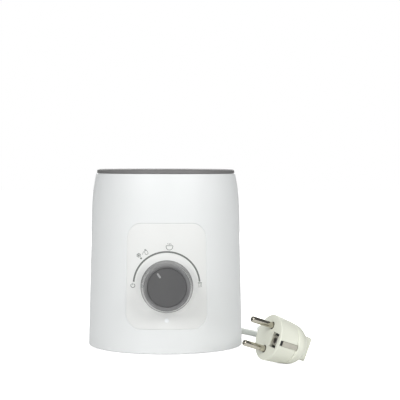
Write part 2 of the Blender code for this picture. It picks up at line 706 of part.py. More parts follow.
def base_fixings(parent):
    foot = [(0, 0), (0.0060, 0), (0.0060, PLATE_BOTTOM - GAP), (0.0020, PLATE_BOTTOM - GAP),
            (0.0020, PLATE_TOP + GAP), (0.0031, PLATE_TOP + GAP), (0.0016, 0.0064), (0, 0.0064)]
    for k, angle in enumerate(FOOT_ANGLES):
        turned(f"rubber_foot_{k + 1}", foot, foot_rubber(), parent, 16,
               location=on_ring(FOOT_RING, angle))
    for k, angle in enumerate(SCREW_ANGLES):
        screw(f"base_screw_{k + 1}", 0.0028, 0.0011, 0.0125, parent,
              on_ring(SCREW_RING, angle, 0.0018))


def cord_anchor(parent):
    """The clamp over the lead, its two screws, and the terminal block."""
    low, high = 0.0136, 0.0195
    clamp = box("cord_clamp", (CORD_X - 0.011, 0.0445, low), (CORD_X + 0.011, 0.0515, high),
                tank_plastic(), parent)
    middle = clamp.location
    holes = bmesh.new()
    for x in (CORD_X - 0.0078, CORD_X + 0.0078):
        add_cylinder(holes, 0.0016, Vector((x, 0.048, low - 0.002)) - middle,
                     Vector((x, 0.048, high + 0.002)) - middle)
    add_cylinder(holes, CORD_RADIUS + GAP, Vector((CORD_X, 0.040, CORD_Z)) - middle,
                 Vector((CORD_X, 0.056, CORD_Z)) - middle, 16)
    shape_with(clamp, holes, "DIFFERENCE", "holes")
    for k, x in enumerate((CORD_X - 0.0078, CORD_X + 0.0078)):
        screw(f"cord_clamp_screw_{k + 1}", 0.0025, 0.0016, 0.0130, parent,
              (x, 0.048, high + GAP + 0.0016), (math.pi, 0, 0))

    block = box("terminal_block", (-0.027, 0.025, PLATE_TOP + GAP), (-0.005, 0.035, 0.0165),
                tank_plastic(), parent)
    middle = block.location
    wells = bmesh.new()
    for x in (-0.023, -0.016, -0.009):
        add_cylinder(wells, 0.0018, Vector((x, 0.030, 0.0110)) - middle,
                     Vector((x, 0.030, 0.0190)) - middle)
    shape_with(block, wells, "DIFFERENCE", "screw_wells")


def wiring(parent):
    """The lead inside the housing and the wires between block, board and heater."""
    tube("internal_lead", [(CORD_X, 0.0565, CORD_Z), (CORD_X, 0.047, CORD_Z),
                           (CORD_X, 0.0354, CORD_Z)], CORD_RADIUS, lead_sheath(), parent, 0.007)
    leg_x, leg_y, leg_end = 0.00880, 0.02135, 0.0477
    wires = {
        "live_wire": [(-0.023, 0.0246, 0.009), (-0.023, 0.0215, 0.009), (-0.024, 0.008, 0.010),
                      (-0.020, -0.015, 0.014), (-0.014, -0.036, 0.020),
                      (-0.012, -0.044, 0.0235), (-0.012, -0.0486, 0.0240)],
        "neutral_wire": [(-0.016, 0.0246, 0.009), (-0.016, 0.0215, 0.009),
                         (-0.0145, 0.0165, 0.013), (-0.0105, 0.0175, 0.027),
                         (-leg_x, leg_y, 0.041), (-leg_x, leg_y, leg_end)],
        "earth_wire": [(-0.009, 0.0246, 0.009), (-0.009, 0.0215, 0.009), (0, 0.0155, 0.014),
                       (0.014, 0.022, 0.030), (0.0178, 0.0302, 0.050),
                       (0.0178, 0.0309, 0.0587)],
        "element_lead": [(0.006, -0.0486, 0.050), (0.006, -0.042, 0.050), (0.008, -0.010, 0.044),
                         (0.0088, 0.014, 0.037), (leg_x, leg_y, 0.042), (leg_x, leg_y, leg_end)],
        "sensor_lead": [(-0.002, -0.0486, 0.0520), (-0.002, -0.044, 0.0525),
                        (-0.001, -0.030, 0.0535), (0, -0.018, 0.0545), (0, -0.0142, 0.0560),
                        (0, -0.014, 0.0576)],
    }
    for name, route in wires.items():
        finish = lead_sheath() if name != "sensor_lead" else black_plastic()
        tube(name, route, 0.0010, finish, parent, 0.005)


# ---------------------------------------------------------------- mains lead and plug

def cord_gland(parent):
    """The rubber sleeve in the rear wall: flange, neck, collar and a long taper."""
    start = 0.0569
    outline = [(0, start), (0.0066, start), (0.0066, 0.0582), (0.0042, 0.0582),
               (0.0042, PAD_FACE + GAP), (0.0065, PAD_FACE + GAP), (0.0065, 0.0670),
               (0.0052, 0.0690), (0.0036, GLAND_END), (0, GLAND_END)]
    turned("cord_gland", outline, lead_sheath(), parent, 20, location=(CORD_X, 0, CORD_Z),
           rotation=BACK)


def power_cord(parent):
    """The free lead: a short run into the coil, the coil, and the run to the plug."""
    tube("power_cord_lead", LEAD_ROUTE, CORD_RADIUS, lead_sheath(), parent, 0.004)
    edge = CORD_RADIUS
    outline = [(COIL_INNER + edge, COIL_BOTTOM), (COIL_OUTER - edge, COIL_BOTTOM),
               (COIL_OUTER, COIL_BOTTOM + edge), (COIL_OUTER, COIL_TOP - edge),
               (COIL_OUTER - edge, COIL_TOP), (COIL_INNER + edge, COIL_TOP),
               (COIL_INNER, COIL_TOP - edge), (COIL_INNER, COIL_BOTTOM + edge)]
    turned("power_cord_coil", outline, lead_sheath(), parent, 36, location=(*COIL_CENTRE, 0))
    tube("power_cord_tail", TAIL_ROUTE, CORD_RADIUS, lead_sheath(), parent, 0.011)


def cord_tie(parent):
    """A flat band round the coil's far side."""
    half_width = 0.0045
    inner, outer = COIL_INNER - GAP, COIL_OUTER + GAP
    band = box("cord_tie", (COIL_CENTRE[0] - half_width, COIL_CENTRE[1] + inner - 0.0016, 0),
               (COIL_CENTRE[0] + half_width, COIL_CENTRE[1] + outer + TIE_THICKNESS,
                COIL_TOP + GAP + TIE_THICKNESS), foot_rubber(), parent)
    middle = band.location
    hole = bmesh.new()
    add_box(hole, Vector((COIL_CENTRE[0] - 0.01, COIL_CENTRE[1] + inner - 0.0010, TIE_THICKNESS))
            - middle, Vector((COIL_CENTRE[0] + 0.01, COIL_CENTRE[1] + outer, COIL_TOP + GAP)) - middle)
    shape_with(band, hole, "DIFFERENCE", "coil_way")


def plug_body(axis):
    """The moulded two-pin plug: collar, tapering rear, side outlet and flat grip."""
    bm = bmesh.new()
    add_loft(bm, [(0, 0.0179, 0.0176), (-0.0007, PLUG_COLLAR, 0.0181),
                  (-0.0160, PLUG_COLLAR, 0.0164), (-0.0170, 0.0192, 0.0162),
                  (-0.0205, 0.0192, 0.0156), (-0.0240, 0.0175, 0.0141), (-0.0270, 0.0145, 0.0120),
                  (-0.0295, 0.0100, 0.0094)])
    body = node("plug_body", mesh_of(bm, "plug_body"), plug_ivory(), axis)
    extra = bmesh.new()
    add_box(extra, (-GRIP_END, -0.0048, -0.0095), (-0.0275, 0.0048, 0.0095))
    add_cylinder(extra, 0.0060, (OUTLET_X, -0.0150, 0), (OUTLET_X, OUTLET_FACE + GAP, 0), 20)
    shape_with(body, extra, "UNION", "grip_and_outlet")
    cuts = bmesh.new()
    for side in (-1, 1):
        place = side * PIN_PITCH / 2
        add_cylinder(cuts, PIN_RADIUS + GAP, (-0.0080, 0, place), (0.002, 0, place), 16)
        low, high = sorted((side * 0.0176, side * 0.0230))
        add_box(cuts, (-0.0166, low, -0.0023), (0.001, high, 0.0023))
    add_box(cuts, (-0.0120, 0.0055, -0.00575), (0.001, 0.0148, 0.00575))
    shape_with(body, cuts, "DIFFERENCE", "pin_and_earth_ways")


def plug_metal(axis):
    """Both pins, the two side earth strips and the earth socket."""
    pin = [(0, -0.0075), (PIN_RADIUS, -0.0075), (PIN_RADIUS, PIN_LENGTH - 0.0012),
           (PIN_RADIUS - 0.0005, PIN_LENGTH - 0.0003), (0.0012, PIN_LENGTH), (0, PIN_LENGTH)]
    for k, side in enumerate((1, -1)):
        turned(f"plug_pin_{k + 1}", pin, nickel(), axis, 16,
               location=(0, 0, side * PIN_PITCH / 2), rotation=ALONG_X)
        low, high = sorted((side * 0.0179, side * 0.0186))
        box(f"plug_earth_clip_{k + 1}", (-0.0163, low, -0.0020), (-0.0010, high, 0.0020),
            nickel(), axis)
    socket = box("plug_earth_socket", (-0.0117, 0.0060, -0.0038), (-0.0012, 0.0143, 0.0038),
                 nickel(), axis)
    hole = bmesh.new()
    add_cylinder(hole, 0.0025, (-0.0040, 0, 0), (0.0080, 0, 0), 16)
    shape_with(socket, hole, "DIFFERENCE", "hole")


def plug_strain_relief(axis):
    length = OUTLET_FACE - RELIEF_END
    outline = [(0, 0), (0.0052, 0), (0.0052, 0.0020), (0.0046, 0.0032), (0.0034, length),
               (0, length)]
    turned("plug_strain_relief", outline, plug_ivory(), axis, 20,
           location=(OUTLET_X, OUTLET_FACE, 0), rotation=FRONT)


def clear_scene():
    for old in list(bpy.data.objects):
        bpy.data.objects.remove(old, do_unlink=True)


def build():
    clear_scene()
    body = empty("warmer_axis", (0, BODY_AXIS_Y, 0))
    knob_axis = empty("knob_axis", (0, -KNOB_SEAT, KNOB_HEIGHT), FRONT, body)
    plug_axis = empty("plug_axis", PLUG_FACE, PLUG_TURN, body)
    for make in (outer_housing, control_panel, top_ring, water_tank, heating_plate, plate_seal,
                 clamp_ring, clamp_screws, heating_element, heater_guards, control_board,
                 board_parts, led_lens, rotary_control, base_plate, base_fixings, cord_anchor,
                 wiring, cord_gland, power_cord, cord_tie):
        make(body)
    knob(knob_axis)
    for make in (plug_body, plug_metal, plug_strain_relief):
        make(plug_axis)


build()
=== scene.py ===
import json
import math

import bpy
import numpy as np
from mathutils import Euler, Matrix, Vector


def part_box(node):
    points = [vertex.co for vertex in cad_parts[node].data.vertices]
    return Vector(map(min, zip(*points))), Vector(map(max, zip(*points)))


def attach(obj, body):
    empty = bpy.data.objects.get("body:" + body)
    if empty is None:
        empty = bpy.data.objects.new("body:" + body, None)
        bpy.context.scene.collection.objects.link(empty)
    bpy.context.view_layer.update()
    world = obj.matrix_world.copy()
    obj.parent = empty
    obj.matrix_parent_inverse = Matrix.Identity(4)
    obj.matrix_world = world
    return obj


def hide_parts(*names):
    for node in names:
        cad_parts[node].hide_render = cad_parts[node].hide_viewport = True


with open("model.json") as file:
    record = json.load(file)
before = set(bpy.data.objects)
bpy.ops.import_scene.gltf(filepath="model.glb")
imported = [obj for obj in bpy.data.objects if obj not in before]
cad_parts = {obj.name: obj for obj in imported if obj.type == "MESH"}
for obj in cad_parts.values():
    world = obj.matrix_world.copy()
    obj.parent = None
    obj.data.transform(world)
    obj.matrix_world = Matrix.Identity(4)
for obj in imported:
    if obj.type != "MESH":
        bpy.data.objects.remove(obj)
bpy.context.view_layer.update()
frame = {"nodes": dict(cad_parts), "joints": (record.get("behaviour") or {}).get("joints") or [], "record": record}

MM = 0.001

# ---- places and sizes, from the frame

SHELL_LOW, SHELL_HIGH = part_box("outer_housing")
AXIS_Y = SHELL_LOW.y + (SHELL_HIGH.x - SHELL_LOW.x) / 2  # the housing's upright axis
BASE_RADIUS = (SHELL_HIGH.x - SHELL_LOW.x) / 2
TAPER = 0.0235  # radius lost per metre of height
SHOULDER_START = 0.115
SHOULDER_END = 0.1468
SHOULDER_DROP = 3.1 * MM
WALL = 2.4 * MM
PANEL_LOW, PANEL_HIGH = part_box("control_panel")
PANEL_MIDDLE = (PANEL_LOW.z + PANEL_HIGH.z) / 2
PANEL_HALF_HEIGHT = (PANEL_HIGH.z - PANEL_LOW.z) / 2
PANEL_HALF_ANGLE = math.radians(30.5)
WRAP_RADIUS = 0.981 * BASE_RADIUS  # distances round the panel use it
PANEL_HALF_WIDTH = PANEL_HALF_ANGLE * WRAP_RADIUS
PANEL_CORNER = 13 * MM
PANEL_THICKNESS = 0.6 * MM  # and the depth of its recess
PANEL_COLUMNS = 256
KNOB_JOINT = frame["joints"][0]
KNOB_AT = Vector(KNOB_JOINT["pos_m"])  # middle of the knob's rear rim
POINTER_ANGLE = math.radians(123.7)  # from +X, seen from the front
SCALE_RISE = 0.6 * MM  # of the printed scale over the knob
INK_FOOT = 0.02 * MM  # how deep the ink's foot is sunk
INK_HEIGHT = 0.04 * MM
LAMP_Z = sum(corner.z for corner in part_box("led_lens")) / 2

# Mains lead, from the gland to the plug
CORD_DIAMETER = 5.6 * MM
TURN_PITCH = 5.9 * MM  # between the coil's neighbouring turns
GLAND_LOW, GLAND_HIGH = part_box("cord_gland")
GLAND_AT = Vector(((GLAND_LOW.x + GLAND_HIGH.x) / 2, AXIS_Y, (GLAND_LOW.z + GLAND_HIGH.z) / 2))
COIL_LOW, COIL_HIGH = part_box("power_cord_coil")
COIL_AT = (COIL_LOW + COIL_HIGH) / 2
LEAD_ROUTE = [(-0.016, 0.0893, 0.0140), (-0.0162, 0.0930, 0.0138), (-0.0167, 0.0970, 0.0132),
              (-0.0173, 0.1004, 0.0125)]
TAIL_ROUTE = [(0.0530, 0.1006, 0.0034), (0.0535, 0.0943, 0.0031), (0.0550, 0.0877, 0.0029),
              (0.0580, 0.0807, 0.0029), (0.0623, 0.0735, 0.0029), (0.0677, 0.0655, 0.0029),
              (0.0737, 0.0563, 0.0029), (0.0795, 0.0455, 0.0029), (0.0840, 0.0330, 0.0029),
              (0.0866, 0.0190, 0.0030), (0.0872, 0.0045, 0.0035), (0.0863, -0.0090, 0.0056),
              (0.0845, -0.0210, 0.0091), (0.0822, -0.0315, 0.0129), (0.0799, -0.0400, 0.0159),
              (0.0780, -0.0470, 0.0181), (0.0768, -0.0530, 0.0195), (0.0766, -0.0585, 0.0201),
              (0.0771, -0.0632, 0.0202), (0.07823, -0.06757, 0.01992),
              (0.07992, -0.07171, 0.01943)]

# The plug's own X points along its pins, Y towards its earth hole and Z from pin to pin
PLUG_TURN = Euler([math.radians(a) for a in (-6.6, -18.5, 204.3)]).to_matrix().to_4x4()
PIN_LENGTH = 19 * MM
PIN_PITCH = 19 * MM
PIN_FOOT = -7.5 * MM
PIN_BOXES = [corner for pin in ("plug_pin_1", "plug_pin_2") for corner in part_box(pin)]
PINS_MIDDLE = sum(PIN_BOXES, Vector()) / 4
PLUG_AT = (Matrix.Translation(PINS_MIDDLE) @ PLUG_TURN
           @ Matrix.Translation((-(PIN_LENGTH + PIN_FOOT) / 2, 0, 0)))

# Turns that stand a turned piece, made round Z, along another direction
FACE_FRONT = Matrix.Rotation(math.pi / 2, 4, "X")
FACE_BACK = Matrix.Rotation(-math.pi / 2, 4, "X")
FACE_X = Matrix.Rotation(math.pi / 2, 4, "Y")
HOUSING_AXIS = Matrix.Translation((0, AXIS_Y, 0))
KNOB_AXIS = Matrix.Translation(KNOB_AT) @ FACE_FRONT


# ---- shader nodes

def feed(tree, node, inputs):
    """Sets each input of a node to a value, or links it from a socket."""
    for label, given in inputs.items():
        if isinstance(given, bpy.types.NodeSocket):
            tree.links.new(given, node.inputs[label])
        else:
            node.inputs[label].default_value = given


def add_node(tree, kind, inputs, operation=None):
    """A new shader node with its inputs fed."""
    made = tree.nodes.new("ShaderNode" + kind)
    if operation:
        made.operation = operation
    feed(tree, made, inputs)
    return made


# ---- camera, light and floor

def camera():
    """A long lens a little over a metre away, just above the rim's height."""
    distance = 1.092
    bearing = math.radians(-0.8)
    aim_right = math.radians(1.534)
    aim_down = math.radians(1.652)
    lean = math.radians(-0.13)
    made = bpy.data.objects.new("camera", bpy.data.cameras.new("camera"))
    made.data.lens = 114.9
    made.data.sensor_width = 36
    made.data.clip_start = 0.05
    made.location = (distance * math.sin(bearing), AXIS_Y - distance * math.cos(bearing), 0.155)
    made.rotation_euler = (math.pi / 2 - aim_down, lean, bearing - aim_right)
    bpy.context.collection.objects.link(made)
    bpy.context.scene.camera = made


def soft_light(name, place, target, size, power):
    """A rectangular light at a place, turned to face a target."""
    lamp = bpy.data.lights.new(name, "AREA")
    lamp.shape = "RECTANGLE"
    lamp.size, lamp.size_y = size
    lamp.energy = power
    made = bpy.data.objects.new(name, lamp)
    made.location = place
    made.rotation_euler = (Vector(target) - Vector(place)).to_track_quat("-Z", "Y").to_euler()
    bpy.context.collection.objects.link(made)


def studio():
    """White surroundings, soft lights either side of the camera, behind and above."""
    scene = bpy.context.scene
    scene.view_settings.view_transform = "Standard"
    world = bpy.data.worlds.new("studio")
    world.use_nodes = True
    scene.world = world
    tree = world.node_tree
    tree.nodes.clear()
    path = add_node(tree, "LightPath", {}).outputs
    strength = add_node(tree, "MapRange", {"Value": path["Is Glossy Ray"], "To Min": 0.285,
                                           "To Max": 0.12})
    light = add_node(tree, "Background", {"Color": (0.97, 0.99, 1, 1),
                                          "Strength": strength.outputs["Result"]})
    seen = add_node(tree, "Background", {"Color": (1, 1, 1, 1), "Strength": 1.0})
    mix = add_node(tree, "MixShader", {"Fac": path["Is Camera Ray"], 1: light.outputs[0],
                                       2: seen.outputs[0]})
    add_node(tree, "OutputWorld", {"Surface": mix.outputs[0]})
    for name, x in (("left_softbox", -0.90), ("right_softbox", 0.90)):
        soft_light(name, (x, -1.30, 0.90), (0, 0, 0.07), (0.7, 0.7), 13.0)
    soft_light("back_softbox", (0.0, 1.6, 0.7), (0, 0, 0.07), (1.4, 0.9), 12)
    soft_light("top_softbox", (0.0, -0.1, 1.3), (0, 0, 0.05), (1.4, 1.4), 3)


def floor():
    """A wide pale sheet that everything stands on."""
    half = 6.0
    mesh = bpy.data.meshes.new("floor")
    mesh.from_pydata([(-half, -half, 0), (half, -half, 0), (half, half, 0), (-half, half, 0)],
                     [], [(0, 1, 2, 3)])
    made = bpy.data.objects.new("floor", mesh)
    bpy.context.collection.objects.link(made)
    sheet = bpy.data.materials.new("studio_floor")
    sheet.use_nodes = True
    tree = sheet.node_tree
    path = add_node(tree, "LightPath", {})
    lift = add_node(tree, "MapRange", {"Value": path.outputs["Is Camera Ray"], "To Max": 0.85})
    feed(tree, tree.nodes["Principled BSDF"],
         {"Base Color": (0.93, 0.93, 0.93, 1), "Roughness": 0.9, "Specular IOR Level": 0.1,
          "Emission Color": (1, 1, 1, 1), "Emission Strength": lift.outputs["Result"]})
    mesh.materials.append(sheet)


# ---- shared shader groups

def new_group(name, numbers):
    """A shader group taking a place, two colours and numbers, and giving a finish's three parts."""
    group = bpy.data.node_groups.new(name, "ShaderNodeTree")
    sockets = [("Vector", "INPUT", "Vector"), ("Tint", "INPUT", "Color"),
               ("Shade", "INPUT", "Color"), *[(label, "INPUT", "Float") for label in numbers],
               ("Color", "OUTPUT", "Color"), ("Roughness", "OUTPUT", "Float"),
               ("Height", "OUTPUT", "Float")]
    for label, way, kind in sockets:
        socket = group.interface.new_socket(label, in_out=way, socket_type="NodeSocket" + kind)
        if label in numbers:
            socket.default_value = numbers[label]
    return group, group.nodes.new("NodeGroupInput").outputs


def scaled(group, vector, by):
    """A vector multiplied by three numbers, one for each axis."""
    return add_node(group, "VectorMath", {0: vector, 1: by}, "MULTIPLY").outputs["Vector"]


def noise(group, vector, scale, detail, rough=0.5):
    """A noise texture; the scale is a number or a socket."""
    return add_node(group, "TexNoise", {"Vector": vector, "Scale": scale, "Detail": detail,
                                        "Roughness": rough}).outputs["Fac"]


def spread(group, value, low, high):
    """Maps 0.3..0.7 of a noise onto low..high, each a number or a socket."""
    return add_node(group, "MapRange", {"Value": value, "From Min": 0.3, "From Max": 0.7,
                                        "To Min": low, "To Max": high}).outputs["Result"]


def mixed(group, factor, first, second):
    """A colour between two others."""
    node = group.nodes.new("ShaderNodeMix")
    node.data_type = "RGBA"
    feed(group, node, {"Factor": factor, 6: first, 7: second})
    return node.outputs[2]


def summed(group, first, second, weight):
    """first + weight * second."""
    return add_node(group, "Math", {0: second, 1: weight, 2: first},
                    "MULTIPLY_ADD").outputs["Value"]


def ended(group, given, tone, polish, height):
    """Completes a group: one noise mixes its colours, another its roughness, one is its height."""
    colour = mixed(group, spread(group, tone, 0.0, 1.0), given["Tint"], given["Shade"])
    rough = spread(group, polish, given["Smooth"], given["Rough"])
    feed(group, group.nodes.new("NodeGroupOutput"),
         {"Color": colour, "Roughness": rough, "Height": height})
    return group


def moulded_skin_group():
    """Injection-moulded plastic: faint flow mottling, spark-eroded grain and handling marks."""
    group, given = new_group("moulded_skin",
                             {"Grain Scale": 2500.0, "Smooth": 0.25, "Rough": 0.35})
    vector = given["Vector"]
    flow = noise(group, scaled(group, vector, (1, 1, 0.35)), 38, 3)
    rubs = noise(group, scaled(group, vector, (1, 1, 3)), 90, 4, 0.65)
    grain = noise(group, vector, given["Grain Scale"], 2)
    ripple = noise(group, vector, 60, 1)
    return ended(group, given, flow, rubs, summed(group, grain, ripple, 1.5))


def worked_metal_group():
    """Drawn or turned metal: fine lines along one direction, with slight tarnish."""
    group, given = new_group("worked_metal", {"Smooth": 0.18, "Rough": 0.38})
    vector = given["Vector"]
    tarnish = noise(group, vector, 130, 4, 0.6)
    lines = noise(group, scaled(group, vector, (3200, 3200, 60)), 1.0, 2)
    return ended(group, given, tarnish, lines, lines)


MOULDED_SKIN = moulded_skin_group()
WORKED_METAL = worked_metal_group()


# ---- finishes

def finish(name, group, tint, shade, bump, settings, shader_values):
    """A Principled material whose colour, roughness and bump come from one shared group."""
    made = bpy.data.materials.new(name)
    made.use_nodes = True
    tree = made.node_tree
    place = add_node(tree, "TexCoord", {})
    skin = tree.nodes.new("ShaderNodeGroup")
    skin.node_tree = group
    feed(tree, skin, {"Vector": place.outputs["Object"], "Tint": (*tint, 1),
                      "Shade": (*shade, 1), **settings})
    bumps = add_node(tree, "Bump", {"Strength": bump, "Distance": 0.05 * MM,
                                    "Height": skin.outputs["Height"]})
    feed(tree, tree.nodes["Principled BSDF"],
         {"Base Color": skin.outputs["Color"], "Roughness": skin.outputs["Roughness"],
          "Normal": bumps.outputs["Normal"], **shader_values})
    return made


def plastic(name, tint, shade, bump, grain, smooth, rough, shader_values):
    """A moulded finish, its roughness between two values."""
    return finish(name, MOULDED_SKIN, tint, shade, bump,
                  {"Grain Scale": grain, "Smooth": smooth, "Rough": rough}, shader_values)


def metal(name, tint, shade, bump, smooth, rough):
    """A worked metal finish, its roughness between two values."""
    return finish(name, WORKED_METAL, tint, shade, bump, {"Smooth": smooth, "Rough": rough},
                  {"Metallic": 1.0})


# Tint, shade, bump, grain scale and the two ends of the roughness
PLASTICS = {
    "white_shell": ((0.755, 0.768, 0.765), (0.749, 0.762, 0.759), 0.012, 2600, 0.46, 0.50),
    "panel_white": ((0.765, 0.77, 0.755), (0.755, 0.76, 0.745), 0.03, 3200, 0.38, 0.48),
    "grey_trim": ((0.182, 0.180, 0.177), (0.170, 0.168, 0.165), 0.15, 3500, 0.48, 0.56),
    "knob_grey": ((0.185, 0.185, 0.185), (0.172, 0.172, 0.174), 0.08, 3500, 0.16, 0.22),
    "knob_face": ((0.094, 0.094, 0.094), (0.087, 0.087, 0.089), 0.25, 4200, 0.42, 0.55),
    "pale_mark": ((0.34, 0.34, 0.34), (0.30, 0.30, 0.30), 0.2, 4000, 0.35, 0.45),
    "print_grey": ((0.14, 0.15, 0.14), (0.17, 0.18, 0.17), 0.1, 5000, 0.45, 0.6),
    "tank_plastic": ((0.72, 0.74, 0.72), (0.66, 0.68, 0.66), 0.15, 1800, 0.30, 0.42),
    "silicone": ((0.55, 0.55, 0.53), (0.48, 0.48, 0.46), 0.2, 2200, 0.5, 0.65),
    "foot_rubber": ((0.035, 0.035, 0.036), (0.022, 0.022, 0.023), 0.4, 3000, 0.65, 0.85),
    "board_green": ((0.015, 0.13, 0.05), (0.010, 0.09, 0.04), 0.3, 900, 0.3, 0.5),
    "black_plastic": ((0.022, 0.022, 0.023), (0.015, 0.015, 0.016), 0.3, 2600, 0.35, 0.5),
    "lead_sheath": ((0.85, 0.88, 0.82), (0.81, 0.84, 0.78), 0.15, 1600, 0.38, 0.50),
    "plug_ivory": ((0.75, 0.76, 0.66), (0.72, 0.73, 0.63), 0.2, 2200, 0.34, 0.46),
    "lamp_clear": ((0.80, 0.82, 0.83), (0.77, 0.79, 0.80), 0.05, 2000, 0.08, 0.15),
}

# Tint, shade, bump and the two ends of the roughness
METALS = {
    "steel": ((0.56, 0.56, 0.55), (0.47, 0.47, 0.46), 0.2, 0.18, 0.35),
    "nickel": ((0.60, 0.57, 0.49), (0.52, 0.49, 0.42), 0.1, 0.08, 0.18),
    "strip_metal": ((0.64, 0.62, 0.54), (0.58, 0.56, 0.49), 0.2, 0.35, 0.50),
}

# What some plastics change of the shader's own values
SHINE = {
    "white_shell": {"Specular IOR Level": 0.4},
    "grey_trim": {"Specular IOR Level": 0.25},
    "knob_grey": {"Coat Weight": 0.6, "Coat Roughness": 0.10},
}

FINISH = {name: plastic(name, *values, SHINE.get(name, {})) for name, values in PLASTICS.items()}
FINISH.update({name: metal(name, *values) for name, values in METALS.items()})


def paint_lens_glow():
    """Paints a glow into the clear lens as emission, brightest in the middle: painted light."""
    tree = FINISH["lamp_clear"].node_tree
    place = add_node(tree, "TexCoord", {})
    lens_middle = (0, AXIS_Y - shell_radius(LAMP_Z), LAMP_Z)
    away = add_node(tree, "VectorMath", {0: place.outputs["Object"], 1: lens_middle}, "DISTANCE")
    fade = add_node(tree, "MapRange", {"Value": away.outputs["Value"], "From Min": 0.6 * MM,
                                       "From Max": 2.8 * MM, "To Min": 1.0, "To Max": 0.0})
    # painted glow: white emission fading out from the lens's middle
    painted_glow = add_node(tree, "CombineColor",
                    {label: fade.outputs["Result"] for label in ("Red", "Green", "Blue")})
    feed(tree, tree.nodes["Principled BSDF"],
         {"Emission Color": painted_glow.outputs["Color"], "Emission Strength": 0.14})


# ---- surfaces on grids

def shell_radius(z):
    """Housing radius at a height: a straight taper, less a drop that grows over the shoulder."""
    over = np.clip((z - SHOULDER_START) / (SHOULDER_END - SHOULDER_START), 0, None)
    return BASE_RADIUS - TAPER * z - SHOULDER_DROP * over ** 2.2


NO_TRIANGLES = np.zeros((0, 3), int)


def around(columns):
    """Angles of evenly spaced columns round a full turn."""
    return np.arange(columns) * 2 * math.pi / columns


def round_z(r, angle, z):
    """Points at radii r and angles round Z, at heights z; the three may broadcast."""
    r = r + 0 * z
    return np.stack([r * np.cos(angle), r * np.sin(angle), z + 0 * angle], -1)


def outward(points, quads, triangles):
    """The same faces, turned over where they enclose a negative volume."""
    halves = np.concatenate([quads[:, [0, 1, 2]], quads[:, [0, 2, 3]], triangles])
    a, b, c = (points[halves[:, k]] for k in range(3))
    if np.einsum("ij,ij->i", a, np.cross(b, c)).sum() < 0:
        return quads[:, ::-1], triangles[:, ::-1]
    return quads, triangles


def mesh_from(name, points, quads, triangles):
    """A mesh from vertex, quad and triangle arrays, with its faces turned outwards."""
    points = np.ascontiguousarray(points, dtype=np.float64)
    quads, triangles = outward(points, quads, triangles)
    mesh = bpy.data.meshes.new(name)
    mesh.vertices.add(len(points))
    mesh.vertices.foreach_set("co", points.ravel())
    corners = np.concatenate([quads.ravel(), triangles.ravel()]).astype(np.int32)
    starts = np.concatenate([np.arange(len(quads)) * 4,
                             len(quads) * 4 + np.arange(len(triangles)) * 3])
    mesh.loops.add(len(corners))
    mesh.loops.foreach_set("vertex_index", corners)
    mesh.polygons.add(len(starts))
    mesh.polygons.foreach_set("loop_start", starts.astype(np.int32))
    mesh.update(calc_edges=True)
    mesh.validate()
    return mesh


def dress(made, look, replaced=(), body="warmer", sharp=50):
    """Links a piece, shades it, gives it its finish and says what it rides on and replaces."""
    if made.type == "MESH":
        made.data.shade_smooth()
        made.data.set_sharp_from_angle(angle=math.radians(sharp))
    made.data.materials.clear()
    made.data.materials.append(FINISH[look])
    bpy.context.collection.objects.link(made)
    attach(made, body)
    if replaced:
        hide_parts(*replaced)
    return made


def woven(rows, columns, rows_close, offset=0):
    """Quads between neighbouring rings of vertices; the last ring may join the first."""
    index = np.arange(rows * columns).reshape(rows, columns) + offset
    after = np.roll(index, -1, 0) if rows_close else index[1:]
    here = index if rows_close else index[:-1]
    quads = [here, np.roll(here, -1, 1), np.roll(after, -1, 1), after]
    return np.stack(quads, -1).reshape(-1, 4)


def moved(points, place):
    """Applies a 4 x 4 matrix to an array of points."""
    matrix = np.array(place)
    return points @ matrix[:3, :3].T + matrix[:3, 3]


def capped(grid):
    """Points, quads and triangles of a body from rings that shrink to a pole at each end."""
    rows, columns = grid.shape[:2]
    points = np.vstack([grid.reshape(-1, 3), grid[0].mean(0), grid[-1].mean(0)])
    here = np.arange(columns)
    last = (rows - 1) * columns
    start = [here, np.full(columns, rows * columns), np.roll(here, -1)]
    stop = [last + here, last + np.roll(here, -1), np.full(columns, rows * columns + 1)]
    triangles = np.concatenate([np.stack(start, -1), np.stack(stop, -1)])
    return points, woven(rows, columns, False), triangles


def ringed(name, grid, look, replaced=(), loop=False, place=Matrix(), body="warmer", sharp=50):
    """A piece from rings of points: its ends shrink to a pole each, or its rows join up."""
    if loop:
        points, quads = grid.reshape(-1, 3), woven(*grid.shape[:2], True)
        triangles = NO_TRIANGLES
    else:
        points, quads, triangles = capped(grid)
    mesh = mesh_from(name, moved(points, place), quads, triangles)
    return dress(bpy.data.objects.new(name, mesh), look, replaced, body, sharp)


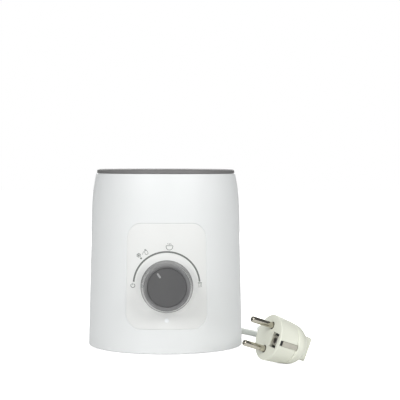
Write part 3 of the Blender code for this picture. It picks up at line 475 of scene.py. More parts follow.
def rounded(corners, closed):
    """An outline through (radius, height, fillet) corners, each rounded by an arc of its fillet.

    A point close to each arc's ends keeps the straight runs flat when they are shaded.
    """
    hold = 0.2 * MM
    outline = []
    for k, (r, z, fillet) in enumerate(corners):
        here = np.array((r, z))
        if not closed and k in (0, len(corners) - 1):
            outline.append(here)
            continue
        back = np.array(corners[k - 1][:2]) - here
        ahead = np.array(corners[(k + 1) % len(corners)][:2]) - here
        back_run, ahead_run = np.linalg.norm(back), np.linalg.norm(ahead)
        back, ahead = back / back_run, ahead / ahead_run
        half = math.acos(np.clip(back @ ahead, -1, 1)) / 2
        reach = min(fillet / math.tan(half), 0.45 * back_run, 0.45 * ahead_run)
        if reach < 1e-6:
            outline.append(here)
            continue
        radius = reach * math.tan(half)
        turn = math.pi - 2 * half
        middle = here + (back + ahead) / np.linalg.norm(back + ahead) * radius / math.sin(half)
        start, stop = here + back * reach - middle, here + ahead * reach - middle
        share = np.linspace(0, 1, max(3, math.ceil(turn / math.radians(14))) + 1)[:, None]
        arc = middle + (np.sin((1 - share) * turn) * start + np.sin(share * turn) * stop) \
            / math.sin(turn)
        if reach + 2 * hold < 0.5 * back_run:
            outline.append(here + back * (reach + hold))
        outline += list(arc)
        if reach + 2 * hold < 0.5 * ahead_run:
            outline.append(here + ahead * (reach + hold))
    return np.array(outline)


def turned(name, corners, look, replaced=(), place=HOUSING_AXIS, columns=128, closed=False,
           body="warmer"):
    """A turned piece: its rounded outline carried round Z, then put in place."""
    outline = rounded(corners, closed)
    if not closed:
        outline = outline[1:-1]  # a pole takes the place of each end
    grid = round_z(outline[:, :1], around(columns), outline[:, 1:])
    return ringed(name, grid, look, replaced, closed, place, body)


def mm(*corners):
    """Corners given in millimetres, as metres."""
    return [tuple(value * MM for value in corner) for corner in corners]


def on_front(x, z, depth=0.0):
    """The point of the housing's front that lies behind (x, z), a depth under its skin."""
    radius = shell_radius(z) - depth
    return np.stack([x + 0 * z, AXIS_Y - np.sqrt(np.maximum(radius ** 2 - x ** 2, 0)), z + 0 * x],
                    -1)


def extended(points):
    """An array of points with one more at each end, going on as the last two do."""
    return np.vstack([2 * points[0] - points[1], points, 2 * points[-1] - points[-2]])


def panel_outline(inset):
    """Points round the panel's edge, moved in by an inset: (distance round, height).

    Each corner is a quarter circle; the sides between them are straight, and every inset has
    the same number of points, so neighbouring outlines can be joined.
    """
    corner = PANEL_CORNER - inset
    half = np.array((PANEL_HALF_WIDTH, PANEL_HALF_HEIGHT)) - PANEL_CORNER
    sweep = np.linspace(0, math.pi / 2, PANEL_COLUMNS // 4)
    straight = np.linspace(0, 1, PANEL_COLUMNS // 4 + 1)[1:-1, None]
    arcs = []
    for quarter, side in enumerate(((1, 1), (-1, 1), (-1, -1), (1, -1))):
        turn = sweep + quarter * math.pi / 2
        arcs.append(half * side + corner * np.stack([np.cos(turn), np.sin(turn)], -1))
    pieces = []
    for here, after in zip(arcs, arcs[1:] + arcs[:1]):
        pieces += [here, here[-1] + (after[0] - here[-1]) * straight]
    return np.vstack(pieces)


def panel_point(flat, depth):
    """Wraps panel coordinates (distance round, height from the middle) onto the housing."""
    z = flat[..., 1] + PANEL_MIDDLE
    angle = flat[..., 0] / WRAP_RADIUS
    radius = shell_radius(z) - depth
    return np.stack([radius * np.sin(angle), AXIS_Y - radius * np.cos(angle), z], -1)


# ---- housing

def outside_panel(angle, z):
    """Distance from the panel's edge, positive outside it, for points of the housing's skin."""
    corner_x = np.abs(angle) * WRAP_RADIUS - (PANEL_HALF_WIDTH - PANEL_CORNER)
    corner_z = np.abs(z - PANEL_MIDDLE) - (PANEL_HALF_HEIGHT - PANEL_CORNER)
    outer = np.hypot(np.maximum(corner_x, 0), np.maximum(corner_z, 0))
    inner = np.minimum(np.maximum(corner_x, corner_z), 0)
    return outer + inner - PANEL_CORNER


def housing():
    """The white shell: a turned skin with a shallow recess pressed in where the panel lies."""
    side = PANEL_HALF_ANGLE
    step = 0.35 * MM / BASE_RADIUS
    corner_turn = PANEL_CORNER / BASE_RADIUS
    half = np.concatenate([np.arange(0, side - corner_turn, 5 * step),
                           np.arange(side - corner_turn, side + 6 * step, step),
                           np.arange(side + 6 * step, math.pi, 5 * step)])
    angle = np.concatenate([-half[:0:-1], half])
    low, high = PANEL_LOW.z, PANEL_HIGH.z
    fine, coarse = 0.35 * MM, 1.6 * MM
    bottom = SHELL_LOW.z
    heights = np.concatenate([
        np.arange(bottom + 1.0 * MM, low - 2 * MM, coarse),
        np.arange(low - 2 * MM, low + PANEL_CORNER, fine),
        np.arange(low + PANEL_CORNER, high - PANEL_CORNER, coarse),
        np.arange(high - PANEL_CORNER, high + 2 * MM, fine),
        np.arange(high + 2 * MM, SHELL_HIGH.z - 0.3 * MM, coarse),
        [SHELL_HIGH.z - 0.3 * MM]])
    gap = outside_panel(angle[None, :], heights[:, None])
    margin, slope = 0.50 * MM, 0.40 * MM  # round the recess, and of its wall
    press = PANEL_THICKNESS * np.clip((margin - gap) / slope, 0, 1)
    radius = shell_radius(heights)[:, None] - press

    edge = 1.0 * MM  # rounding at the foot
    curl = np.linspace(0, math.pi / 2, 7)[:-1]
    foot_r = shell_radius(bottom) - edge * (1 - np.sin(curl))
    foot_z = bottom + edge * (1 - np.cos(curl))
    top_r = shell_radius(SHELL_HIGH.z) - np.array([0.3, WALL / MM - 0.3, WALL / MM]) * MM
    top_z = SHELL_HIGH.z - np.array([0, 0, 0.3]) * MM
    inner_z = np.linspace(SHELL_HIGH.z - 2 * MM, bottom + 1.0 * MM, 40)
    inner_r = shell_radius(inner_z) - WALL
    rim_r = shell_radius(bottom) - np.array([WALL, WALL - 0.3 * MM])
    rim_z = bottom + np.array([0.3 * MM, 0])
    tail_r = np.concatenate([top_r, inner_r, rim_r])
    tail_z = np.concatenate([top_z, inner_z, rim_z])
    all_r = np.vstack([foot_r[:, None] + 0 * angle, radius, tail_r[:, None] + 0 * angle])
    all_z = np.concatenate([foot_z, heights, tail_z])[:, None] + 0 * angle
    grid = np.stack([all_r * np.sin(angle), AXIS_Y - all_r * np.cos(angle), all_z], -1)
    ringed("housing_shell", grid, "white_shell", ["outer_housing"], loop=True)


def gland_seat():
    """The round pad on the housing's rear that the gland's collar sits against."""
    out = mm((0, 57, 0), (7.6, 57, 0.2), (7.6, 65.4, 0.5), (4.6, 65.4, 0.2), (4.6, 58.4, 0.2),
             (0, 58.4, 0))
    turned("gland_seat", out, "white_shell", place=Matrix.Translation(GLAND_AT) @ FACE_BACK,
           columns=64)


def panel():
    """The inlay: rings from its middle to its edge, a small edge radius, and its back."""
    edge = 0.30 * MM
    inner = panel_outline(edge)
    shares = np.concatenate([np.linspace(0.04, 0.96, 32), [0.985, 1.0]])
    rows = [panel_point(inner * share, 0) for share in shares]
    for turn in np.linspace(0, math.pi / 2, 6)[1:]:
        inset = edge * (1 - math.sin(turn))
        rows.append(panel_point(panel_outline(inset), edge * (1 - math.cos(turn))))
    rows.append(panel_point(panel_outline(0), PANEL_THICKNESS))
    rows += [panel_point(inner * share, PANEL_THICKNESS) for share in shares[::-4]]
    ringed("panel_inlay", np.array(rows), "panel_white", ["control_panel"])


def rim():
    """The grey ring round the mouth, rounded over at both edges."""
    out = mm((58.6, 146.5, 0.15), (58.35, 149.0, 0.6), (56.9, 149.75, 1.5), (52.0, 150.0, 4.0),
             (39.5, 150.0, 1.6), (39.5, 146.2, 0.3),
             (54.0, 146.2, 0.2), (54.0, 141.5, 0.2), (56.2, 141.5, 0.2), (56.2, 146.5, 0.2))
    turned("mouth_ring", out, "grey_trim", ["top_ring"], columns=256, closed=True)


def well():
    """The water well: drafted wall with two raised level lines and a stepped floor."""
    top, floor_z = 145.9, 63.7

    def wall(z):
        """The drafted wall's radius at a height, in millimetres."""
        return 38.0 + 1.8 * (z - 66.9) / (top - 66.9)

    level = []
    for z in (128.0, 104.0):
        level += [(wall(z + 0.6), z + 0.6, 0.15), (wall(z) - 0.35, z + 0.25, 0.1),
                  (wall(z) - 0.35, z - 0.25, 0.1), (wall(z - 0.6), z - 0.6, 0.15)]
    out = mm(*[(wall(top), top, 0.3), *level, (38.0, 66.9, 1.1), (36.6, 65.7, 0.3),
               (32.0, 65.7, 0.3), (32.0, floor_z, 0.2), (40.0, floor_z, 0.8),
               (41.8, 143.9, 0.8), (53.0, 143.9, 0.2), (53.0, top, 0.3)])
    turned("water_well", out, "tank_plastic", ["water_tank"], columns=192, closed=True)


def hot_plate():
    """The pressed steel floor of the well, with a shallow ring rolled into it."""
    out = mm((0, 66.0, 0), (22.6, 66.0, 0.6), (23.4, 65.6, 0.5), (25.0, 65.6, 0.5),
             (25.8, 66.0, 0.6), (31.5, 66.0, 1.0), (31.5, 62.2, 0.4), (36.5, 62.2, 0.2),
             (36.5, 61.0, 0.2), (30.3, 61.0, 0.6), (30.3, 64.4, 0.6), (0, 64.4, 0))
    turned("hot_plate", out, "steel", ["heating_plate"], columns=192)


def feet():
    """The four feet: a grooved pad on a stem whose barb holds it in the base."""
    out = mm((0, 0.0, 0), (4.0, 0.0, 0.2), (4.4, 0.25, 0.2), (4.8, 0.0, 0.2), (6.0, 0.0, 0.4),
             (6.0, 1.3, 0.2), (2.0, 1.3, 0.2), (2.0, 4.3, 0.1), (3.1, 4.3, 0.2), (1.6, 6.4, 0.3),
             (0, 6.4, 0))
    for k in range(1, 5):
        low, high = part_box(f"rubber_foot_{k}")
        middle = (low + high) / 2
        turned(f"soft_foot_{k}", out, "foot_rubber", [f"rubber_foot_{k}"],
               place=Matrix.Translation((middle.x, middle.y, 0)), columns=48)


def lamp():
    """The indicator's lens: a flange behind the shell and a light pipe through it."""
    tip, rear = (corner.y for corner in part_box("led_lens"))
    length = (rear - tip) / MM
    out = mm((0, 0, 0), (3.2, 0, 0.2), (3.2, 1.4, 0.2), (2.0, 1.4, 0.1), (2.0, length - 0.3, 0.5),
             (0, length, 0))
    turned("lamp_lens", out, "lamp_clear", ["led_lens"],
           place=Matrix.Translation((0, rear, LAMP_Z)) @ FACE_FRONT, columns=48)


# ---- knob

def knob():
    """The knob: a steep rim, a conical wall up to a crest, and a dished bevel down to the cap."""
    out = mm((0, 8.8, 0), (15.75, 8.8, 0.2), (15.75, 10.35, 0.3), (17.4, 11.9, 0.5),
             (18.0, 12.0, 0.3), (18.7, 11.3, 0.6), (20.5, 2.9, 2.0), (21.2, 1.2, 0.6),
             (21.2, 0.0, 0.25), (19.6, 0.0, 0.2), (17.2, 7.2, 0.8), (5.0, 7.2, 0.3),
             (5.0, 0.6, 0.2), (3.4, 0.6, 0.2), (3.4, 7.6, 0.2), (0, 7.6, 0))
    turned("knob_skirt", out, "knob_grey", ["knob_body"], KNOB_AXIS, 256, body="knob")
    face = mm((0, 9.1, 0), (15.55, 9.1, 0.2), (15.55, 10.6, 0.25), (0, 10.6, 0))
    turned("knob_disc", face, "knob_face", ["knob_cap"], KNOB_AXIS, 192, body="knob")


def knob_collar():
    """The collar behind the knob: a flat front whose side flares back into the panel.

    Each ring is a circle round the knob's axis.  Over the flare, its height above the
    housing's skin falls with the square of the width that is left, so it runs out smoothly.
    """
    angle = around(256)
    front = AXIS_Y - KNOB_AT.y - 0.3 * MM
    top, foot, bore = 20.5 * MM, 26.2 * MM, 5.2 * MM

    def ring(radius, ahead=None, share=0.0, sink=0.12 * MM):
        """One ring, at a distance ahead of the housing's axis or part way down the flare."""
        x, z = radius * np.cos(angle), KNOB_AT.z + radius * np.sin(angle)
        skin = np.sqrt((shell_radius(z) - sink) ** 2 - x ** 2)
        if ahead is None:
            ahead = skin + (front - skin) * (1 - share) ** 2
        return np.stack([x, AXIS_Y - ahead + 0 * x, z], -1)

    rows = [ring(bore, front - 5 * MM), ring(bore, front - 0.3 * MM), ring(bore + 0.2 * MM, front)]
    rows += [ring(radius, front) for radius in np.linspace(bore + 0.4 * MM, top - 0.4 * MM, 8)]
    rows += [ring(top - 0.12 * MM, front), ring(top, front - 0.12 * MM)]
    rows += [ring(top + (foot - top) * share, share=share)
             for share in np.linspace(0.06, 1, 26)]
    rows.append(ring(foot - 0.3 * MM, share=1, sink=0.5 * MM))
    rows += [ring(radius, share=1, sink=0.9 * MM)
             for radius in np.linspace(foot - 1 * MM, bore, 8)]
    ringed("knob_collar", np.array(rows), "panel_white", loop=True, sharp=35)


def pointer():
    """The mark on the knob's face: a bar with round ends and a soft top edge."""
    length, width = 4.6 * MM, 1.6 * MM
    low, high = 10.2 * MM, 10.8 * MM
    edge = 0.25 * (high - low)
    angle = around(48)
    shift = (length - width) / 2 * np.sign(np.cos(angle))
    rows = []
    for inset, z in ((0, low), (0, high - edge), (0.3 * edge, high - 0.3 * edge), (edge, high),
                     (0.3 * width, high)):
        rows.append(round_z(width / 2 - inset, angle, z) + shift[:, None] * (1, 0, 0))
    place = (KNOB_AXIS @ Matrix.Rotation(POINTER_ANGLE, 4, "Z")
             @ Matrix.Translation((11.6 * MM, 0, 0)))
    ringed("pointer_mark", np.array(rows), "pale_mark", ["knob_pointer"], place=place,
           body="knob")


# ---- printed scale

def stroke(points, width, closed):
    """A flat line of one width through (x, z) points: its two edges as arrays."""
    points = np.array(points, float)
    if closed:
        ahead, back = np.roll(points, -1, 0), np.roll(points, 1, 0)
    else:
        padded = extended(points)
        ahead, back = padded[2:], padded[:-2]
    along = ahead - back
    along /= np.linalg.norm(along, axis=1)[:, None]
    normal = np.stack([-along[:, 1], along[:, 0]], -1)
    return points - normal * width / 2, points + normal * width / 2


def arc(centre, radius, start, stop, count):
    """Points along a circular arc between two angles in degrees."""
    angle = np.radians(np.linspace(start, stop, count))
    return np.stack([centre[0] + radius * np.cos(angle), centre[1] + radius * np.sin(angle)], -1)


def line(start, stop):
    """Four points on the way from one point to another."""
    return np.array(start) + (np.array(stop) - np.array(start)) * np.linspace(0, 1, 4)[:, None]


def printed(name, strokes):
    """Ink on the panel: each stroke a thin strip that follows the housing's curve.

    A stroke is its path in millimetres from the scale's middle, its width, and whether it closes.
    """
    points, quads, offset = [], [], 0
    middle = KNOB_AT.z + SCALE_RISE
    for path, width, closed in strokes:
        left, right = stroke(np.array(path) * MM, width * MM, closed)
        ring = [on_front(edge[:, 0], edge[:, 1] + middle, depth)
                for edge, depth in ((left, INK_FOOT), (left, -INK_HEIGHT), (right, -INK_HEIGHT),
                                    (right, INK_FOOT))]
        grid = np.stack(ring, 1)
        rows = len(grid)
        points.append(grid.reshape(-1, 3))
        quads.append(woven(rows, 4, closed, offset))
        if not closed:
            last = offset + (rows - 1) * 4
            quads.append(np.array([[offset + 3, offset + 2, offset + 1, offset],
                                   [last, last + 1, last + 2, last + 3]]))
        offset += rows * 4
    mesh = mesh_from(name, np.vstack(points), np.concatenate(quads), NO_TRIANGLES)
    dress(bpy.data.objects.new(name, mesh), "print_grey", sharp=30)


def turned_by(points, angle, centre):
    """Points turned about the origin and then moved to a centre."""
    spin = np.array([[math.cos(angle), -math.sin(angle)], [math.sin(angle), math.cos(angle)]])
    return np.asarray(points) @ spin.T + np.array(centre)


def scale_marks():
    """The heat scale round the knob, its start dot, its pictograms and the off mark."""
    printed("scale_arc", [(arc((0, 0), 26.85, 175, 5, 120), 1.35, False)])
    dot = turned_by([(29.8, 0)], math.radians(134), (0, 0))[0]
    printed("scale_dot", [(arc(dot, 0.38, 0, 345, 18), 0.78, True)])

    def at(radius, degrees):
        """A place on the panel, in millimetres from the scale's middle."""
        return turned_by([(radius, 0)], math.radians(degrees), (0, 0))[0]

    flake = []
    centre = at(32.9, 133.4)
    for spoke in range(3):
        a = math.radians(60 * spoke + 90)
        tip = 1.9 * np.array([math.cos(a), math.sin(a)])
        flake.append((line(centre - tip, centre + tip), 0.35, False))
        for sign in (-1, 1):
            knee = centre + sign * tip * 0.55
            for bend in (-1, 1):
                b = a + bend * math.radians(50) + (math.pi if sign < 0 else 0)
                flake.append((line(knee, turned_by([(0.8, 0)], b, knee)[0]), 0.3, False))
    printed("frost_icon", flake)
    slash = at(32.2, 126.6)
    bottle = at(31.5, 122.0)
    body = [(-0.9, -2.0), (0.9, -2.0), (1.15, -1.6), (1.15, 0.5), (0.75, 1.1), (-0.75, 1.1),
            (-1.15, 0.5), (-1.15, -1.6)]
    teat = [(-0.6, 1.2), (-0.45, 1.8), (-0.2, 2.4), (0.2, 2.4), (0.45, 1.8), (0.6, 1.2)]
    tilt = math.radians(22)
    printed("bottle_icon", [
        (line(slash + (-0.5, -1.3), slash + (0.5, 1.3)), 0.3, False),
        (turned_by(body, tilt, bottle), 0.35, True),
        (turned_by(teat, tilt, bottle), 0.35, False)])

    bowl = at(31.2, 86)
    printed("bowl_icon", [
        (arc(bowl, 2.7, 162, 378, 30), 0.42, False),
        (line(bowl + (-2.6, 0.75), bowl + (2.6, 0.75)), 0.36, False),
        *[(bowl + np.stack([x + 0.2 * np.sin(np.linspace(0, 2 * math.pi, 9)),
                            np.linspace(1.25, 2.7, 9)], -1), 0.32, False) for x in (-1.2, 0, 1.2)]])

    jar = at(26.8, 0)
    printed("jar_icon", [
        (jar + np.array([(-1.5, -1.9), (1.5, -1.9), (1.5, 0.9), (-1.5, 0.9)]), 0.35, True),
        (line(jar + (-1.8, 1.5), jar + (1.8, 1.5)), 0.45, False),
        *[(line(jar + (x, -1.2), jar + (x, 0.3)), 0.3, False) for x in (-0.6, 0.6)]])

    off = at(27.4, 181.5)
    printed("off_mark", [
        (arc(off, 1.65, 125, 415, 36), 0.5, False),
        (line(off + (0, 0.3), off + (0, 2.0)), 0.5, False)])


# ---- mains lead

def smooth_route(points, spacing):
    """Points one spacing apart on a centripetal Catmull-Rom curve through a route."""
    points = np.array(points, float)
    padded = extended(points)
    share = np.linspace(0, 1, 9)[1:, None]
    fine = [points[:1]]
    for level in zip(padded, padded[1:], padded[2:], padded[3:]):
        knots = np.cumsum([0.0] + [np.linalg.norm(b - a) ** 0.5
                                   for a, b in zip(level, level[1:])])
        t = knots[1] + (knots[2] - knots[1]) * share
        for spans in (((0, 1), (1, 2), (2, 3)), ((0, 2), (1, 3)), ((1, 2),)):
            level = [((knots[b] - t) * p + (t - knots[a]) * q) / (knots[b] - knots[a])
                     for (a, b), p, q in zip(spans, level, level[1:])]
        fine += level
    fine = np.vstack(fine)
    run = np.concatenate([[0], np.cumsum(np.linalg.norm(np.diff(fine, axis=0), axis=1))])
    wanted = np.linspace(0, run[-1], max(2, round(run[-1] / spacing) + 1))
    return np.stack([np.interp(wanted, run, fine[:, k]) for k in range(3)], axis=1)


def coil_turns():
    """Three and a half turns, clockwise from above: an outer and an inner one in two layers.

    The first turn runs outside on top, the second inside on top; it drops to the floor layer,
    moves out again, and leaves on the right.  Each change is an S-curve over 60 degrees.
    """
    outer = (COIL_HIGH.x - COIL_LOW.x) / 2 - CORD_DIAMETER / 2
    inner = outer - TURN_PITCH
    high, low = COIL_HIGH.z - CORD_DIAMETER / 2, COIL_LOW.z + CORD_DIAMETER / 2
    turned_by_degrees = np.arange(0, 1261, 10.0)

    def change(start):
        """How much of a change that begins at an angle is done, from 0 to 1."""
        share = np.clip((turned_by_degrees - start) / 60, 0, 1)
        return share * share * (3 - 2 * share)

    radius = outer + (inner - outer) * (change(285) - change(920))
    z = high + (low - high) * change(620)
    angle = np.radians(180 - turned_by_degrees)
    return np.stack([COIL_AT.x + radius * np.cos(angle), COIL_AT.y + radius * np.sin(angle), z],
                    -1)


def lead():
    """The whole lead on one line: out of the gland, round the coil, and on to the plug."""
    shift = np.array((0, AXIS_Y, 0))
    route = np.vstack([np.array(LEAD_ROUTE) + shift, coil_turns(), np.array(TAIL_ROUTE) + shift])
    points = smooth_route(route, 1.6 * MM)
    curve = bpy.data.curves.new("mains_lead", "CURVE")
    curve.dimensions = "3D"
    curve.bevel_depth = CORD_DIAMETER / 2
    curve.bevel_resolution = 5
    curve.use_fill_caps = True
    spline = curve.splines.new("POLY")
    spline.points.add(len(points) - 1)
    spline.points.foreach_set("co", np.hstack([points, np.ones((len(points), 1))]).ravel())
    spline.use_smooth = True
    made = bpy.data.objects.new("mains_lead", curve)
    dress(made, "lead_sheath", ["power_cord_lead", "power_cord_coil", "power_cord_tail"])
    length = np.linalg.norm(np.diff(points, axis=0), axis=1).sum()
    return made, tuple(points[0]), length


def relief(name, outline, look, replaced, place, start, pitch, slots):
    """A ribbed strain relief: a turned sleeve with slots cut half round it, turn by turn."""
    profile = rounded(outline, False)[1:-1]
    runs = [np.linspace(a, b, max(2, int(abs(b[1] - a[1]) / (0.3 * MM))), endpoint=False)
            for a, b in zip(profile, profile[1:])]
    sleeve_r, z = np.vstack(runs + [profile[-1:]]).T
    angle = around(96)
    depth = np.zeros((len(z), len(angle)))
    for k in range(slots):
        groove = 1 / (1 + (np.abs(z - start - k * pitch) / (0.55 * MM)) ** 6)
        web = np.abs(np.cos(angle + (k % 2) * math.pi / 2))
        open_part = np.clip((web - 0.30) / 0.12, 0, 1)
        depth = np.maximum(depth, groove[:, None] * open_part)
    grid = round_z(sleeve_r[:, None] - 0.9 * MM * depth, angle, z[:, None])
    return ringed(name, grid, look, replaced, place=place)


def gland():
    """The gland: a flange inside the wall, a neck through it, a collar and a ribbed sleeve."""
    outline = mm((0, 56.9, 0), (6.6, 56.9, 0.3), (6.6, 58.2, 0.2), (4.2, 58.2, 0.2),
                 (4.2, 65.7, 0.1), (6.5, 65.7, 0.2), (6.5, 67.3, 0.5), (5.3, 68.2, 0.5),
                 (3.8, 89.0, 0.5), (0, 89.0, 0))
    return relief("gland_sleeve", outline, "lead_sheath", ["cord_gland"],
                  Matrix.Translation(GLAND_AT) @ FACE_BACK, 70.6 * MM, 2.6 * MM, 6)


def tie():
    """A flat strap round the coil's far side: a loop with rounded corners."""
    low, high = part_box("cord_tie")
    middle = (low + high) / 2
    half = (high - low) / 2
    corner, thick, edge = 2.0 * MM, 0.6 * MM, 0.2 * MM

    def loop(inset):
        """The strap's outline seen along X, moved in by an inset."""
        turn = np.radians(np.concatenate([np.linspace(q, q + 90, 8) for q in (0, 90, 180, 270)]))
        side_y = np.repeat([1, -1, -1, 1], 8) * (half.y - corner)
        side_z = np.repeat([1, 1, -1, -1], 8) * (half.z - corner)
        return side_y + (corner - inset) * np.cos(turn), side_z + (corner - inset) * np.sin(turn)

    rows = []
    for inset, x in ((0, half.x - edge), (0, 0.4 * half.x), (0, -0.4 * half.x),
                     (0, edge - half.x), (thick / 2, -half.x), (thick, edge - half.x),
                     (thick, half.x - edge), (thick / 2, half.x)):
        y, z = loop(inset)
        rows.append(np.stack([middle.x + x + 0 * y, middle.y + y, middle.z + z], -1))
    return ringed("coil_tie", np.array(rows), "foot_rubber", ["cord_tie"], loop=True)


# ---- plug

def catmull(stations, each):
    """Stations refined by a uniform Catmull-Rom curve, keeping every given one."""
    stations = np.array(stations, float)
    padded = extended(stations)
    t = np.linspace(0, 1, each, endpoint=False)[:, None]
    parts = [0.5 * (2 * b + (c - a) * t + (2 * a - 5 * b + 4 * c - d) * t ** 2
                    + (3 * b - a - 3 * c + d) * t ** 3)
             for a, b, c, d in zip(padded, padded[1:], padded[2:], padded[3:])]
    return np.vstack(parts + [stations[-1:]])


def loft(stations, power=2.0, columns=160):
    """Rings along X: superellipses with half widths given in Y and Z at each station."""
    angle = around(columns)
    c, s = np.cos(angle), np.sin(angle)
    round_c = np.sign(c) * np.abs(c) ** (2 / power)
    round_s = np.sign(s) * np.abs(s) ** (2 / power)
    x, half_y, half_z = stations.T[:, :, None]
    return np.stack([x + 0 * angle, half_y * round_c, half_z * round_s], -1)


def carved(target, tools):
    """Joins and cuts a piece with (operation, tool) pairs, applies it, and removes the tools."""
    for operation, tool in tools:
        step = target.modifiers.new(tool.name, "BOOLEAN")
        step.operation = operation
        step.solver = "EXACT"
        step.object = tool
    graph = bpy.context.evaluated_depsgraph_get()
    mesh = bpy.data.meshes.new_from_object(target.evaluated_get(graph))
    target.modifiers.clear()
    old = target.data
    target.data = mesh
    bpy.data.meshes.remove(old)
    for _, tool in tools:
        bpy.data.objects.remove(tool)
    target.data.shade_smooth()
    target.data.set_sharp_from_angle(angle=math.radians(40))
    return target


def tool_from(name, grid, place=PLUG_AT):
    """A closed body from rings of points, as a tool that joins or cuts."""
    points, quads, triangles = capped(grid)
    made = bpy.data.objects.new(name, mesh_from(name, moved(points, place), quads, triangles))
    bpy.context.collection.objects.link(made)
    return made


def block_tool(name, low, high):
    """A box between two corners of the plug's own frame, in millimetres."""
    (x0, y0, z0), (x1, y1, z1) = low, high
    grid = [[(x, y0, z0), (x, y1, z0), (x, y1, z1), (x, y0, z1)] for x in (x0, x1)]
    return tool_from(name, np.array(grid) * MM)


def rod_tool(name, radius, start, stop):
    """A rod between two points of the plug's own frame, in millimetres."""
    start, stop = Vector(start) * MM, Vector(stop) * MM
    turn = Vector((0, 0, 1)).rotation_difference(stop - start).to_matrix().to_4x4()
    heights = np.array([[0], [(stop - start).length]])
    grid = round_z(radius * MM, around(48), heights)
    return tool_from(name, grid, PLUG_AT @ Matrix.Translation(start) @ turn)


def plug_case():
    """The moulded plug: collar, parting step, domed rear, grip tab and side outlet."""
    stations = mm((0, 17.6, 17.2), (-0.18, 18.1, 17.7), (-0.6, 18.45, 18.0), (-1.4, 18.5, 18.0),
                  (-5.0, 18.5, 17.6), (-10.0, 18.5, 17.1), (-15.0, 18.5, 16.6),
                  (-15.8, 18.45, 16.5), (-16.1, 18.2, 16.2), (-16.4, 18.2, 16.15),
                  (-16.8, 18.9, 16.2), (-17.6, 19.2, 16.15), (-20.5, 19.15, 15.6),
                  (-23.0, 18.1, 14.6), (-25.5, 16.1, 13.0), (-27.5, 13.4, 11.4),
                  (-28.9, 10.8, 10.0), (-29.5, 8.6, 8.6))
    case = ringed("plug_case", loft(catmull(stations, 5)), "plug_ivory", ["plug_body"],
                  place=PLUG_AT)
    grip = loft(catmull(mm((-26.0, 4.6, 9.3), (-30.0, 4.5, 9.3), (-33.5, 4.8, 9.5),
                           (-34.9, 4.75, 9.45), (-35.35, 4.4, 9.1), (-35.5, 3.8, 8.5)), 4), 7.0,
                96)
    outlet = rounded(mm((0, 14.0, 0), (6.4, 14.0, 0.2), (6.0, 20.0, 0.6), (0, 20.0, 0)), False)
    outlet = round_z(outlet[1:-1, :1], around(64), outlet[1:-1, 1:])
    outlet_place = PLUG_AT @ Matrix.Translation((-21 * MM, 0, 0)) @ FACE_FRONT
    tools = [("UNION", tool_from("grip_tool", grip)),
             ("UNION", tool_from("outlet_tool", outlet, outlet_place))]
    for side in (-1, 1):
        tools.append(("DIFFERENCE", rod_tool("pin_way", 3.05, (-8, 0, side * 9.5),
                                             (2, 0, side * 9.5))))
        tools.append(("DIFFERENCE", block_tool("strip_way", (-16.9, side * 17.5, -2.2),
                                               (-1.0, side * 23, 2.2))))
    tools.append(("DIFFERENCE", block_tool("earth_way", (-12, 5.5, -5.75), (2, 14.8, 5.75))))
    return carved(case, tools)


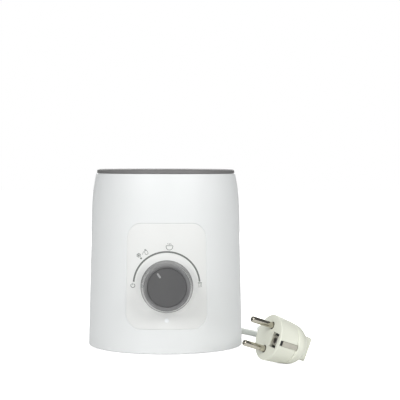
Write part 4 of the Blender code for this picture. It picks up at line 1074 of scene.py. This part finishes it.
def plug_metal():
    """Pins and side strips, and the earth contact in its well; black rings and slabs in the gaps round the pins'
    feet, past the strips' ends, in the well and in the contact's hole are painted shade.
    """
    made = []
    pin = mm((0, -7.5, 0), (2.4, -7.5, 0.2), (2.4, 19.0, 1.5), (0, 19.0, 0))
    # black ring filling the gap round each pin's foot: painted shade of the gap
    collar = mm((2.55, -6.0, 0.1), (3.0, -6.0, 0.1), (3.0, -0.35, 0.1), (2.55, -0.35, 0.1))
    for k, side in enumerate((1, -1)):
        place = PLUG_AT @ Matrix.Translation((0, 0, side * PIN_PITCH / 2)) @ FACE_X
        made += [turned(f"pin_{k + 1}", pin, "nickel", [f"plug_pin_{k + 1}"], place, 64),
                 turned(f"pin_gap_shade_{k + 1}", collar, "black_plastic", (), place, 64, True),
                 plate(f"earth_strip_{k + 1}", (-16.6, 17.7 * side, -2.0),
                       (-3.4, 18.55 * side, 2.0), "strip_metal", [f"plug_earth_clip_{k + 1}"]),
                 # black slab at the bottom of each side slot, past the strip's end: painted shade of the slot
                 plate(f"strip_slot_shade_{k + 1}", (-3.3, 17.6 * side, -1.9),
                       (-1.1, 17.9 * side, 1.9), "black_plastic")]
    # black slab filling the earth hole behind the contact: painted shade of the hole's depth
    well_shade = plate("earth_hole_shade", (-11.9, 5.6, -5.65), (-2.2, 14.7, 5.65), "black_plastic")
    contact = plate("earth_contact", (-4.6, 5.7, -3.7), (-0.8, 14.6, 3.7), "strip_metal",
                    ["plug_earth_socket"])
    hole = rod_tool("contact_hole", 2.35, (-4.2, 10.15, 0), (2, 10.15, 0))
    contact = carved(contact, [("DIFFERENCE", hole)])
    # black slab in the bottom of the contact's hole: painted shade of the hole
    shade_fill = plate("contact_hole_shade", (-4.1, 8.4, -1.75), (-3.7, 11.9, 1.75), "black_plastic")
    return made + [well_shade, contact, shade_fill]


def plate(name, low, high, look, replaced=()):
    """A small slab of the plug with softened edges: superellipse rings along X."""
    low, high = np.sort([low, high], 0) * MM
    middle = (low + high) / 2
    half = (high - low) / 2
    edge = min(0.25 * MM, 0.4 * half.min())
    outline = [(-half[0], half[1] - edge, half[2] - edge), (-half[0] + edge, half[1], half[2]),
               (half[0] - edge, half[1], half[2]), (half[0], half[1] - edge, half[2] - edge)]
    grid = loft(np.array(outline), 16.0, 64)
    return ringed(name, grid, look, replaced, place=PLUG_AT @ Matrix.Translation(middle),
                  sharp=30)


def plug_sleeve():
    """The plug's ribbed strain relief, carried on from its side outlet."""
    outline = mm((0, 0, 0), (5.2, 0, 0.2), (5.2, 2.0, 0.4), (4.7, 3.0, 0.4), (3.7, 19.7, 0.5),
                 (0, 19.7, 0))
    place = PLUG_AT @ Matrix.Translation((-21 * MM, -20.3 * MM, 0)) @ FACE_FRONT
    return relief("plug_sleeve", outline, "plug_ivory", ["plug_strain_relief"], place, 5.4 * MM,
                  2.4 * MM, 5)


# ---- the pieces that stay as they are

def dress_carried_over():
    """Gives every CAD node its own slot's finish; replaced ones are hidden anyway."""
    slots = {part["node"]: part["material_slot"] for part in frame["record"]["subparts"]}
    for name, made in frame["nodes"].items():
        look = FINISH[slots[name]]
        made.data.materials.clear()
        made.data.materials.append(look)
        for face in made.data.polygons:
            face.material_index = 0


paint_lens_glow()
camera()
studio()
floor()
dress_carried_over()
housing()
gland_seat()
panel()
rim()
well()
hot_plate()
feet()
lamp()
knob()
knob_collar()
pointer()
scale_marks()
cord, cord_start, cord_length = lead()
on_cord = [gland(), tie(), plug_case(), plug_sleeve(), *plug_metal()]
